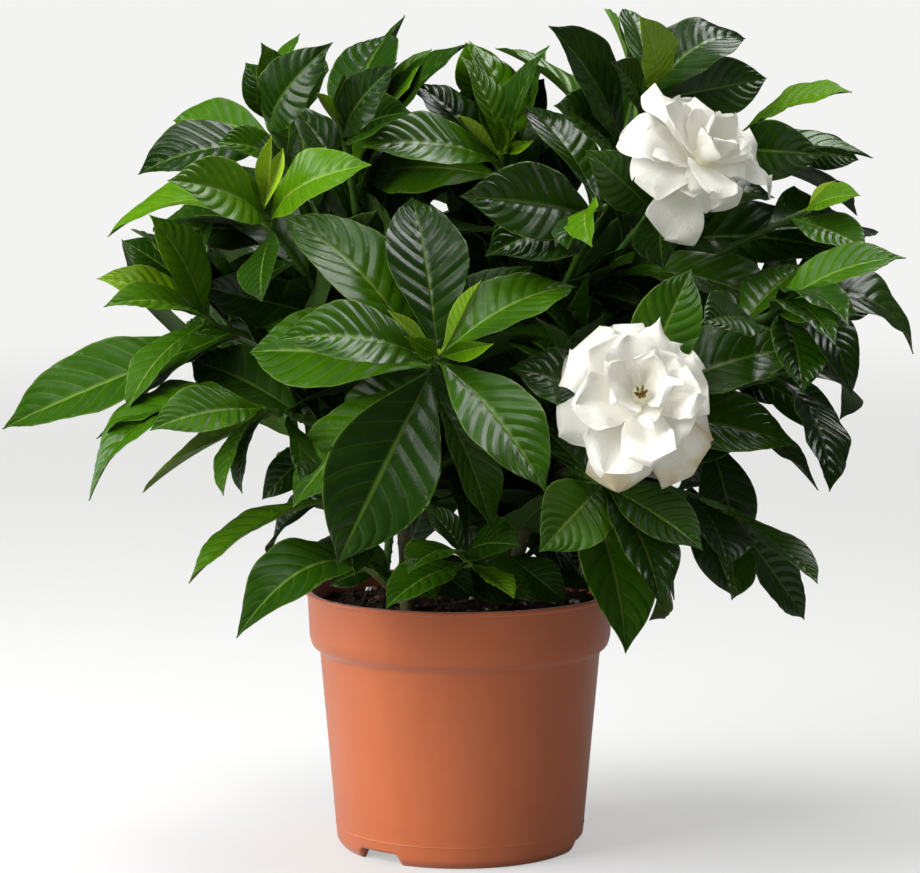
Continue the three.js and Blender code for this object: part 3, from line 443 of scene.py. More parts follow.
# %% The mottling group
mottling, given, results = new_group(
    "fine_mottling", [("Where", "NodeSocketVector"), ("Scale", 20.0), ("Contrast", 1.0)], ["Value"])
coarse = noise(mottling, given["Where"], given["Scale"], 4.0)
fine = noise(mottling, given["Where"], product(mottling, given["Scale"], 6.3), 2.0)
both = calc(mottling, "MULTIPLY_ADD", fine, 0.35, product(mottling, coarse, 0.65))
centred = calc(mottling, "SUBTRACT", both, 0.5)
spread = calc(mottling, "MULTIPLY_ADD", centred, given["Contrast"], 0.5, clamp=True)
feed(mottling, results["Value"], spread)

# %% [markdown]
# A gardenia leaf has a pale midrib and about ten pairs of side veins that curve towards the tip.
# The blade swells between them like a quilt. Each leaf's mesh carries two numbers for this:
# `vein`, which goes up by one from each side vein to the next, and `across`, which is 0 on the
# midrib and 1 at the edge. The group turns them into masks of the veins and a height.

# %% The vein group
veining, given, results = new_group(
    "blade_veins", [("Vein", 0.0), ("Across", 0.0), ("Sharpness", 0.86), ("Midrib", 0.07)],
    ["Side veins", "Midrib", "Swelling"])
between = calc(veining, "FRACT", given["Vein"])
from_middle = calc(veining, "ABSOLUTE", calc(veining, "MULTIPLY_ADD", between, 2.0, -1.0))
side_line = smooth_step(veining, from_middle, given["Sharpness"], 1.0)
faded = calc(veining, "MULTIPLY_ADD", given["Across"], -0.55, 1.0)
off_midrib = smooth_step(veining, given["Across"], 0.0, given["Midrib"])
valley = calc(veining, "POWER", from_middle, 2.6)
feed(veining, results["Side veins"], product(veining, side_line, faded))
feed(veining, results["Midrib"], calc(veining, "SUBTRACT", 1.0, off_midrib))
feed(veining, results["Swelling"], calc(veining, "SUBTRACT", 1.0, valley))

# %% The crumbly relief group
crumbs, given, results = new_group(
    "crumbly_relief", [("Where", "NodeSocketVector"), ("Scale", 300.0)], ["Height"])
lumps = new_node(crumbs, "TexVoronoi")
lumps.feature = "SMOOTH_F1"
feed(crumbs, lumps.inputs["Vector"], given["Where"])
feed(crumbs, lumps.inputs["Scale"], given["Scale"])
grit = noise(crumbs, given["Where"], product(crumbs, given["Scale"], 3.1), 4.0)
crowns = calc(crumbs, "SUBTRACT", 1.0, lumps.outputs["Distance"])
feed(crumbs, results["Height"], calc(crumbs, "MULTIPLY_ADD", grit, 0.6, crowns))
print("node groups:", ", ".join(group.name for group in bpy.data.node_groups))

# %% [markdown]
# ## The finishes
# The pot is terracotta-coloured polypropylene: a satin skin, a little paler where it has been
# handled, with very faint flow marks that run down its side. A dusty sheen makes it paler where
# its lit side turns away.

# %% The pot's plastic
pot_plastic, tree, where = new_material(
    "terracotta_plastic", Coat_Weight=0.06, Coat_Roughness=0.3, Sheen_Weight=0.3,
    Specular_IOR_Level=0.35)
clouds = placed(tree, mottling, Where=where, Scale=26.0, Contrast=1.6)["Value"]
flow = noise(tree, stretched(tree, where, (1, 1, 0.12)), 160.0, 3.0)
grain = noise(tree, where, 2600.0, 2.0)
tint = mixed(tree, clouds, (0.50, 0.112, 0.034), (0.57, 0.142, 0.048))
skin = calc(tree, "MULTIPLY_ADD", flow, 0.5, product(tree, grain, 0.5))
dress(tree, Base_Color=mixed(tree, product(tree, flow, 0.3), tint, (0.60, 0.18, 0.078)),
      Roughness=calc(tree, "MULTIPLY_ADD", clouds, 0.16, 0.34),
      Normal=bumped(tree, skin, 0.00012, 0.6))

# %% [markdown]
# Peat, perlite and bark: three finishes for the soil and the bits that lie on it. They are rough
# and dark, and only the perlite is nearly white.

# %% The soil's finishes
def crumbly_material(name, dark, light, scale, depth):
    """A matt material between two colours, with a crumbly relief."""
    material, tree, where = new_material(name, Roughness=0.92, Specular_IOR_Level=0.25)
    patches = placed(tree, mottling, Where=where, Scale=scale * 0.4, Contrast=2.4)["Value"]
    height = placed(tree, crumbs, Where=where, Scale=scale)["Height"]
    dress(tree, Base_Color=mixed(tree, patches, dark, light), Normal=bumped(tree, height, depth))
    return material


peat = crumbly_material("peat", (0.012, 0.008, 0.005), (0.055, 0.034, 0.021), 420.0, 0.0012)
perlite = crumbly_material("perlite", (0.62, 0.60, 0.56), (0.85, 0.84, 0.80), 900.0, 0.0004)
bark_chips = crumbly_material(
    "bark_chips", (0.045, 0.026, 0.014), (0.15, 0.085, 0.045), 500.0, 0.0006)

# %% [markdown]
# The old stems are grey-brown over green, with long shallow cracks. The pattern is stretched
# along Z, which is near enough to the way that the stems grow.

# %% The bark
bark, tree, where = new_material("stem_bark", Roughness=0.8)
streaks = noise(tree, stretched(tree, where, (1, 1, 0.22)), 900.0, 5.0, 0.65)
patches = placed(tree, mottling, Where=where, Scale=90.0, Contrast=2.0)["Value"]
tint = mixed(tree, patches, (0.085, 0.10, 0.03), (0.20, 0.15, 0.075))
cracked = mixed(tree, smooth_step(tree, streaks, 0.35, 0.65), (0.05, 0.045, 0.02), tint)
dress(tree, Base_Color=cracked, Normal=bumped(tree, streaks, 0.0006))

# %% [markdown]
# The leaf is the finish that matters most. Its colour runs from near black-green on old leaves to
# yellow-green on young ones, and each leaf's mesh carries that as `tone`. The veins and the rim
# are paler. The upper face has a waxy coat over a smooth skin, and the underside is paler and
# matt.

# %% The leaf's colour
GREENS = [(0.0, (0.004, 0.016, 0.0006)), (0.28, (0.014, 0.053, 0.0006)),
          (0.52, (0.044, 0.140, 0.0008)), (0.76, (0.150, 0.31, 0.002)), (1.0, (0.40, 0.52, 0.04))]
UNDERSIDE_GREEN = (0.075, 0.15, 0.03)

leaf_skin, tree, where = new_material(
    "gardenia_leaf", Coat_Roughness=0.12, Specular_IOR_Level=0.36)
across, under = attribute(tree, "across"), attribute(tree, "under")
patches = placed(tree, mottling, Where=where, Scale=45.0, Contrast=1.7)["Value"]
shift = calc(tree, "MULTIPLY_ADD", patches, 0.16, -0.08)
aged = calc(tree, "ADD", attribute(tree, "tone"), shift, clamp=True)
ramp = new_node(tree, "ValToRGB", Fac=aged)
ramp.color_ramp.interpolation = "B_SPLINE"
for position, _ in GREENS[1:-1]:
    ramp.color_ramp.elements.new(position)
for element, (position, green) in zip(ramp.color_ramp.elements, GREENS):
    element.position = position
    element.color = (*green, 1)
veins = placed(tree, veining, Vein=attribute(tree, "vein"), Across=across)
side_line, midrib = product(tree, veins["Side veins"], 0.2), product(tree, veins["Midrib"], 0.6)
pale_vein = mixed(tree, aged, (0.07, 0.16, 0.010), (0.40, 0.50, 0.11))
rim = product(tree, smooth_step(tree, across, 0.93, 1.0), 0.45)
veined = mixed(tree, calc(tree, "MAXIMUM", side_line, midrib), ramp.outputs["Color"], pale_vein)
face_colour = mixed(tree, rim, veined, pale_vein)
back_colour = mixed(tree, 0.45, face_colour, UNDERSIDE_GREEN)
dress(tree, Base_Color=mixed(tree, under, face_colour, back_colour))

# %% The leaf's skin
dull = calc(tree, "MULTIPLY_ADD", patches, 0.12, 0.19)
net = new_node(tree, "TexVoronoi", Scale=90.0)
net.feature = "DISTANCE_TO_EDGE"
feed(tree, net.inputs["Vector"], pattern_map(tree))
cells = product(tree, smooth_step(tree, net.outputs["Distance"], 0.0, 0.2), 0.04)
relief = calc(tree, "MULTIPLY_ADD", veins["Swelling"], 0.35, cells)
dress(tree, Roughness=calc(tree, "MULTIPLY_ADD", under, 0.28, dull),
      Coat_Weight=calc(tree, "MULTIPLY_ADD", under, -0.06, 0.06),
      Normal=bumped(tree, relief, 0.0006, 0.7))

# %% [markdown]
# Green shoots and the cup behind a bloom share one plain green. Petals are waxy and
# nearly white, with faint long veins, creamier towards their foot and browned in places at the
# edge. They are thin enough to glow with the light that falls on their far side, and a weak
# emission in their own colour stands for that. The heart of a bloom is yellow-green and brown.

# %% The shoots' green
shoot_green, tree, where = new_material("green_shoot", Roughness=0.45)
patches = placed(tree, mottling, Where=where, Scale=120.0, Contrast=1.8)["Value"]
dress(tree, Base_Color=mixed(tree, patches, (0.02, 0.065, 0.006), (0.07, 0.155, 0.018)),
      Normal=bumped(tree, patches, 0.0004))

# %% The petals and the eye
petal_skin, tree, where = new_material(
    "waxy_petal", Roughness=0.55, Subsurface_Weight=0.12, Subsurface_Scale=0.003,
    Subsurface_Radius=(1.0, 0.95, 0.8), Sheen_Weight=0.08, Emission_Strength=0.12)
long_veins = noise(tree, stretched(tree, pattern_map(tree), (90, 7, 1)), 1.0, 3.0)
soft_patches = placed(tree, mottling, Where=where, Scale=60.0, Contrast=1.2)["Value"]
white = mixed(tree, product(tree, soft_patches, 0.5), (0.84, 0.825, 0.75), (0.79, 0.77, 0.655))
white = mixed(tree, product(tree, attribute(tree, "foot"), 0.75), white, (0.78, 0.76, 0.52))
blotch = smooth_step(tree, noise(tree, where, 60.0, 3.0), 0.4, 0.56)
browned = product(tree, blotch, attribute(tree, "rim"), 0.9)
petal_colour = mixed(tree, browned, white, (0.60, 0.49, 0.27))
dress(tree, Base_Color=petal_colour, Emission_Color=petal_colour,
      Normal=bumped(tree, long_veins, 0.001, 0.6))

eye_skin, tree, where = new_material("bloom_heart", Roughness=0.6)
specks = placed(tree, mottling, Where=where, Scale=500.0, Contrast=3.0)["Value"]
green_share = smooth_step(tree, specks, 0.35, 0.6)
speckled = mixed(tree, green_share, (0.24, 0.03, 0.012), (0.36, 0.42, 0.08))
dress(tree, Base_Color=speckled, Normal=bumped(tree, specks, 0.0008))
print("finishes:", len(bpy.data.materials))

# %% [markdown]
# ## The pot
# The pot is a turned shape: one closed outline swept round the axis. The outline's corners are
# rounded with small curves first, because a moulded pot has no sharp edge anywhere. The three
# notches in the foot ring lift the lowest points of the sweep, which keeps the mesh one closed
# skin, and the four drain holes are cut through the floor.

# %% A rounded outline
def rounded(corners, radii, steps=5):
    """Each corner is replaced by a short curve that touches both sides a radius away from it:
    start·(1-s)² + corner·2s(1-s) + end·s²."""
    corners = np.asarray(corners, float)
    line = [corners[:1]]
    s = np.linspace(0, 1, steps)[:, None]
    for before, corner, after, radius in zip(corners[:-2], corners[1:-1], corners[2:], radii):
        into, out = before - corner, after - corner
        start = corner + unit(into) * min(radius, 0.45 * np.linalg.norm(into))
        end = corner + unit(out) * min(radius, 0.45 * np.linalg.norm(out))
        line.append(start * (1 - s) ** 2 + corner * 2 * s * (1 - s) + end * s**2)
    return np.concatenate([*line, corners[-1:]])


def refined(line, spacing):
    """The same line with points added, so that no step is longer than the spacing."""
    out = [line[:1]]
    for a, b in zip(line[:-1], line[1:]):
        count = max(1, int(math.ceil(np.linalg.norm(b - a) / spacing)))
        share = np.linspace(0, 1, count + 1)[1:, None]
        out.append(a + (b - a) * share)
    return np.concatenate(out)


def turned(line, sides):
    """The outline's (radius, height) points carried round the axis: (radius·cos, radius·sin,
    height). Its first and last points lie on the axis and close the shape with fans."""
    turn = np.linspace(0, 2 * math.pi, sides, endpoint=False)
    radius, height = line[1:-1, 0][:, None], line[1:-1, 1][:, None]
    ring = np.stack([radius * np.cos(turn), radius * np.sin(turn), height + 0 * turn], axis=-1)
    points = np.concatenate([ring.reshape(-1, 3), [[0, 0, line[0, 1]], [0, 0, line[-1, 1]]]])
    rows = len(line) - 2
    first, last = rows * sides, rows * sides + 1
    walls = grid_faces(rows, sides, True)[:, ::-1]
    high_fan = fan((rows - 1) * sides, sides, last)[:, ::-1]
    batches = [Faces(walls), Faces(fan(0, sides, first)), Faces(high_fan)]
    return points, facing_out(points, batches)


# %% The pot's outline
RIM_RADIUS, POT_HEIGHT, LIP_HEIGHT, LIP_OVERHANG = 60.0, 100.0, 1.8, 0.7
COLLAR_RADIUS, COLLAR_HEIGHT, BODY_TOP_RADIUS = 58.6, 18.0, 54.6
FOOT_RADIUS, FOOT_ROUNDING, WALL, POT_FLOOR, FLOOR_THICKNESS = 48.0, 2.6, 1.7, 7.0, 2.0
INNER_FOOT, INNER_FLOOR_RADIUS = 43.8, 47.0
POT_SIDES = 240
collar_foot = POT_HEIGHT - COLLAR_HEIGHT
lip_foot = POT_HEIGHT - LIP_HEIGHT
body_top, collar_curve, inner_body_top = collar_foot - 5.4, collar_foot - 3.2, collar_foot - 5
side_foot = FOOT_RADIUS + 0.1

# A fine raised line runs round just above the notches, where the two halves of the mould met.
LINE_HEIGHT, LINE_RISE = 8.2, 0.22
side_slope = (BODY_TOP_RADIUS - side_foot) / (body_top - FOOT_ROUNDING)
line_radius = side_foot + side_slope * (LINE_HEIGHT - FOOT_ROUNDING)
mould_line = [(line_radius, LINE_HEIGHT), (line_radius + LINE_RISE, LINE_HEIGHT + 0.25),
              (line_radius + 0.04, LINE_HEIGHT + 0.6)]
outside = [(0, POT_FLOOR), (INNER_FOOT, POT_FLOOR), (INNER_FOOT + 0.7, 0), (FOOT_RADIUS - 1.9, 0),
           (side_foot, FOOT_ROUNDING), *mould_line, (BODY_TOP_RADIUS, body_top),
           (COLLAR_RADIUS - 1.0, collar_curve), (COLLAR_RADIUS, collar_foot + 0.4),
           (RIM_RADIUS - LIP_OVERHANG, lip_foot), (RIM_RADIUS, lip_foot + 0.4),
           (RIM_RADIUS, POT_HEIGHT)]
inside = [(RIM_RADIUS - LIP_OVERHANG - WALL, POT_HEIGHT), (COLLAR_RADIUS - WALL, collar_foot),
          (BODY_TOP_RADIUS - WALL, inner_body_top),
          (INNER_FLOOR_RADIUS, POT_FLOOR + FLOOR_THICKNESS), (0, POT_FLOOR + FLOOR_THICKNESS)]
corner_radii = [0.6, 0.4, 0.8, 1.2, 0.1, 0.12, 0.1, 1.6, 1.4, 1.0, 0.25, 0.3, 0.5, 0.5, 2, 2, 1]
pot_line = refined(rounded(outside + inside, corner_radii), 4.0)
pot_points, pot_faces = turned(pot_line, POT_SIDES)
print("points on the outline:", len(pot_line))

# %% The notches
NOTCH_COUNT, NOTCH_WIDTH, NOTCH_HEIGHT, FIRST_NOTCH = 3, 19.0, 4.6, math.radians(-131)
between_notches = 2 * math.pi / NOTCH_COUNT
angle = np.arctan2(pot_points[:, 1], pot_points[:, 0]) - FIRST_NOTCH
angle_off = np.abs((angle + between_notches / 2) % between_notches - between_notches / 2)
lift = np.clip(NOTCH_WIDTH / 2 + 0.5 - angle_off * FOOT_RADIUS, 0, 1)
in_ring = np.hypot(pot_points[:, 0], pot_points[:, 1]) > INNER_FOOT - 1
raised = np.maximum(pot_points[:, 2], NOTCH_HEIGHT)
pot_points[:, 2] += np.where(in_ring, (raised - pot_points[:, 2]) * lift, 0)
pot_piece = make_piece("pot_moulding", pot_points, pot_faces, [pot_plastic])
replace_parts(pot_piece, "pot")

# %% The drain holes
HOLE_COUNT, HOLE_CIRCLE, HOLE_RADIUS, DRILL_FOOT, DRILL_TOP = 4, 26.0, 4.5, 4.0, 12.0
turn = 2 * math.pi * np.arange(HOLE_COUNT) / HOLE_COUNT
hole_centres = HOLE_CIRCLE * np.stack([np.cos(turn), np.sin(turn), 0 * turn], axis=-1)
drill_outline = [(0, DRILL_FOOT), (HOLE_RADIUS, DRILL_FOOT), (HOLE_RADIUS, DRILL_TOP),
                 (0, DRILL_TOP)]
drill_points, drill_faces = turned(refined(np.array(drill_outline), 2.0), 24)
cutter_points = (hole_centres[:, None] + drill_points).reshape(-1, 3)
cutter_faces = [face for k in range(HOLE_COUNT) for batch in drill_faces
                for face in (batch.corners + k * len(drill_points)).tolist()]
cutter_mesh = bpy.data.meshes.new("drills")
cutter_mesh.from_pydata(metres(cutter_points).tolist(), [], cutter_faces)
cutter = bpy.data.objects.new("drills", cutter_mesh)
bpy.context.collection.objects.link(cutter)
drilling = pot_piece.modifiers.new("drain_holes", "BOOLEAN")
drilling.operation = "DIFFERENCE"
drilling.object = cutter
drilling.solver = "EXACT"
drilled = pot_piece.evaluated_get(bpy.context.evaluated_depsgraph_get())
drilled_mesh = bpy.data.meshes.new_from_object(drilled)
pot_piece.modifiers.clear()
pot_piece.data = drilled_mesh
bpy.data.objects.remove(cutter)
print("pot:", len(pot_piece.data.polygons), "faces")

# %% [markdown]
# ## The soil
# The soil's top is a fine polar grid. Its height is the slow swell of the solid, plus three sizes
# of lumps. Lumps come from random heights on a square lattice, joined by smooth curves, which is
# the simplest noise that numpy can give without a loop.

# %% Lumps
def lattice_noise(x, y, spacing, seed):
    """Random heights from -1 to 1 on a square lattice, blended with smooth shares s²(3-2s)
    along both axes."""
    size = LATTICE_SIZE
    heights = np.random.default_rng(seed).uniform(-1, 1, (size, size))
    column, row = np.floor(x / spacing), np.floor(y / spacing)
    sx, sy = x / spacing - column, y / spacing - row
    sx, sy = sx**2 * (3 - 2 * sx), sy**2 * (3 - 2 * sy)
    c, r = column.astype(int) % size, row.astype(int) % size
    c1, r1 = (c + 1) % size, (r + 1) % size
    low = heights[r, c] * (1 - sx) + heights[r, c1] * sx
    high = heights[r1, c] * (1 - sx) + heights[r1, c1] * sx
    return low * (1 - sy) + high * sy


LATTICE_SIZE = 96
SOIL_TOP, SOIL_EDGE, SOIL_FOOT = 94.5, 57.0, 9.4
SOIL_RINGS, SOIL_SIDES = 56, 150


def soil_height(x, y):
    """The mean level, the slow swell and the lumps, which all fade out at the wall."""
    swell = 0.8 * (np.sin(0.21 * x + 1.1) * np.cos(0.17 * y) + np.sin(0.13 * x - 0.24 * y + 0.6))
    lumps = (1.0 * lattice_noise(x, y, 6.0, 11) + 0.6 * lattice_noise(x, y, 2.4, 12)
             + 0.35 * lattice_noise(x, y, 1.1, 13))
    inward = np.clip((SOIL_EDGE - np.hypot(x, y)) / 7, 0.15, 1)
    return SOIL_TOP - 0.6 + (swell + lumps) * inward


# %% The soil's shape
soil_rings = np.linspace(0.6, SOIL_EDGE, SOIL_RINGS)
soil_side = [(56.6, 83), (52.4, 77), (46.2, SOIL_FOOT), (0, SOIL_FOOT)]
soil_outline = np.concatenate([
    [(0, SOIL_TOP)], np.stack([soil_rings, np.full(SOIL_RINGS, SOIL_TOP)], axis=-1), soil_side])
soil_points, soil_faces = turned(soil_outline[::-1], SOIL_SIDES)
on_top = soil_points[:, 2] > SOIL_TOP - 0.01
soil_points[on_top, 2] = soil_height(soil_points[on_top, 0], soil_points[on_top, 1])
soil_piece = make_piece("potting_mix", soil_points, soil_faces, [peat])
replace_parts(soil_piece, "soil")
print("soil:", len(soil_piece.data.polygons), "faces")

# %% [markdown]
# Bits of perlite, bark and peat lie on the soil. One bit is an icosahedron, twenty faces, pulled
# out of round. All the bits are worked out in one array: a table of random sizes and turns times
# the twelve corners.

# %% The bits on the soil
golden = (1 + math.sqrt(5)) / 2
ICO_POINTS = unit([(-1, golden, 0), (1, golden, 0), (-1, -golden, 0), (1, -golden, 0),
                   (0, -1, golden), (0, 1, golden), (0, -1, -golden), (0, 1, -golden),
                   (golden, 0, -1), (golden, 0, 1), (-golden, 0, -1), (-golden, 0, 1)])
ICO_FACES = np.array([(0, 11, 5), (0, 5, 1), (0, 1, 7), (0, 7, 10), (0, 10, 11), (1, 5, 9),
                      (5, 11, 4), (11, 10, 2), (10, 7, 6), (7, 1, 8), (3, 9, 4), (3, 4, 2),
                      (3, 2, 6), (3, 6, 8), (3, 8, 9), (4, 9, 5), (2, 4, 11), (6, 2, 10),
                      (8, 6, 7), (9, 8, 1)])
# Perlite, bark and peat: how many, the smallest and the largest size in mm, and the flatness.
BITS = [(36, 0.6, 1.5, 0.85), (170, 0.9, 2.6, 0.5), (320, 0.5, 1.6, 0.8)]


def scattered_bits(count, smallest, largest, flatness, seed):
    """Bits at random places on the soil: corner = place + turn · (size · jitter · icosahedron)."""
    draw = np.random.default_rng(seed)
    radius = (SOIL_EDGE - 2) * np.sqrt(draw.uniform(0.01, 1, count))
    turn = draw.uniform(0, 2 * math.pi, count)
    x, y = radius * np.cos(turn), radius * np.sin(turn)
    size = draw.uniform(smallest, largest, (count, 1, 1)) * np.array([1, 0.75, flatness])
    corners = ICO_POINTS[None] * size * draw.uniform(0.72, 1.2, (count, 12, 1))
    spin = draw.uniform(0, 2 * math.pi, count)[:, None]
    tip = draw.uniform(-0.5, 0.5, count)[:, None]
    cx = corners[..., 0] * np.cos(spin) - corners[..., 1] * np.sin(spin)
    cy = corners[..., 0] * np.sin(spin) + corners[..., 1] * np.cos(spin)
    cz = corners[..., 2] + cx * np.sin(tip)
    rest = soil_height(x, y) + size[:, 0, 2] * 0.45
    lying = [cx + x[:, None], cy + y[:, None], cz + rest[:, None]]
    points = np.stack(lying, axis=-1).reshape(-1, 3)
    faces = (ICO_FACES[None] + 12 * np.arange(count)[:, None, None]).reshape(-1, 3)
    return points, faces


bit_points, bit_faces, bit_corners = [], [], 0
for kind, row in enumerate(BITS):
    points, faces = scattered_bits(*row, seed=21 + kind)
    bit_faces.append(Faces(faces + bit_corners, kind))
    bit_points.append(points)
    bit_corners += len(points)
bits = make_piece("soil_bits", np.concatenate(bit_points), bit_faces, [perlite, bark_chips, peat])
print("soil bits:", len(bits.data.polygons) // len(ICO_FACES))

# %% [markdown]
# ## Curves to grow along
# A branch leaves its cutting's crown, rises, and bends out to its bud: a curve with one control
# point. The solids were placed by arc length, so the curve keeps a table of its length at 200
# steps and looks distances up in it. The first part of each curve is woody branch, and the rest
# is green shoot.

# %% Curves
STEPS = np.linspace(0, 1, 201)
NUDGE = 1e-4


class Curve:
    """A curve with a `point(t)` function, measured by arc length."""

    def table(self):
        """Arc length at even steps of t: the running sum of the chords."""
        if not hasattr(self, "lengths"):
            chords = np.linalg.norm(np.diff(self.point(STEPS), axis=0), axis=1)
            self.lengths = np.concatenate([[0], np.cumsum(chords)])
        return self.lengths

    def t_at(self, share):
        """The t at a share of the whole length, from the table."""
        lengths = self.table()
        return np.interp(np.asarray(share) * lengths[-1], lengths, STEPS)

    def at(self, share):
        """The point at a share of the whole length."""
        return self.point(self.t_at(share))

    def tangent(self, share):
        """The direction there, from two points close to each other."""
        t = self.t_at(share)
        return unit(self.point(min(t + NUDGE, 1.0)) - self.point(max(t - NUDGE, 0.0)))


class Arc(Curve):
    """start·(1-t)² + control·2t(1-t) + end·t²."""

    def __init__(self, start, control, end):
        self.start, self.control, self.end = (np.asarray(p, float) for p in (start, control, end))

    def point(self, t):
        t = np.asarray(t)[..., None]
        return self.start * (1 - t) ** 2 + self.control * 2 * t * (1 - t) + self.end * t**2


class Stretch(Curve):
    """A part of another curve, between two shares of its length."""

    def __init__(self, whole, first, last):
        self.whole, self.first, self.last = whole, first, last

    def point(self, t):
        return self.whole.at(self.first + (self.last - self.first) * np.asarray(t))


def tube(points, radius, sides, material=0):
    """A round section carried along a path: centre + radius·(normal·cos + binormal·sin). The
    paths here lie nearly in one plane, so that plane's normal serves as the binormal all along."""
    tangent = unit(np.gradient(points, axis=0))
    flat = np.cross(points[-1] - points[0], points[len(points) // 2] - points[0])
    if np.linalg.norm(flat) < 1e-6 * np.linalg.norm(points[-1] - points[0]) ** 2 + 1e-9:
        flat = np.cross(tangent[0], [0.3, 1.0, 0.2])  # a straight path: any plane along it
    normal = unit(np.cross(np.broadcast_to(unit(flat), tangent.shape), tangent))
    binormal = np.cross(tangent, normal)
    turn = np.linspace(0, 2 * math.pi, sides, endpoint=False)[None, :, None]
    radius = np.broadcast_to(radius, len(points))[:, None, None]
    outward = normal[:, None] * np.cos(turn) + binormal[:, None] * np.sin(turn)
    ring = points[:, None] + radius * outward
    walls = grid_faces(len(points), sides, True)[:, ::-1]
    start_cap = np.arange(sides)[None, ::-1]
    end_cap = (len(points) - 1) * sides + np.arange(sides)[None]
    batches = [Faces(faces, material) for faces in (walls, start_cap, end_cap)]
    return ring.reshape(-1, 3), batches


class Collector:
    """Gathers parts of one piece: their points, faces and point values, renumbered."""

    def __init__(self, *keys):
        self.points, self.batches, self.values = [], [], {key: [] for key in keys}
        self.count = 0

    def add(self, points, batches, **values):
        """Adds one closed part, turned to face outwards."""
        self.batches += [batch.moved(self.count) for batch in facing_out(points, batches)]
        self.points.append(points)
        self.count += len(points)
        for key, numbers in self.values.items():
            numbers.append(np.broadcast_to(values.get(key, 0.0), len(points)))

    def make(self, name, materials):
        """The finished piece."""
        values = {key: np.concatenate(numbers) for key, numbers in self.values.items()}
        return make_piece(name, np.concatenate(self.points), self.batches, materials, values)


# %% [markdown]
# ## What grows in the pot
# Four rooted cuttings stand in the soil, as growers set them to fill a pot quickly. Each row
# below is one green shoot: the cutting that it grows from, the place of its bud in the picture,
# how far that lies before or behind the pot's axis, and its leaves. A leaf's row gives the
# place on the shoot, the picture place of the tip, the width that shows in pixels, the length
# in mm and its traits. The rows are the same ones that the solids were grown from.

# %% Cuttings, shoots and leaves
CUTTINGS = [("stem_1", (-20, -22), (-24, -34, 150)), ("stem_2", (20, -14), (34, -26, 145)),
            ("stem_3", (-14, 18), (-30, 14, 160)), ("stem_4", (18, 20), (24, 20, 165))]


def leaf(at, tip, shown, length, traits):
    """One leaf that the picture shows."""
    return {"at": at, "tip": tip, "shown": shown, "length": length, "traits": traits.split()}


def shoot(name, cutting, bud, behind, fill, leaves=(), bloom=None, facing=None):
    """One shoot, with `fill` more leaves that are placed by rule."""
    return {"name": name, "cutting": cutting, "foot": seen_at(bud, behind), "fill": fill,
            "leaves": leaves, "bloom": bloom, "facing": facing, "front": True}


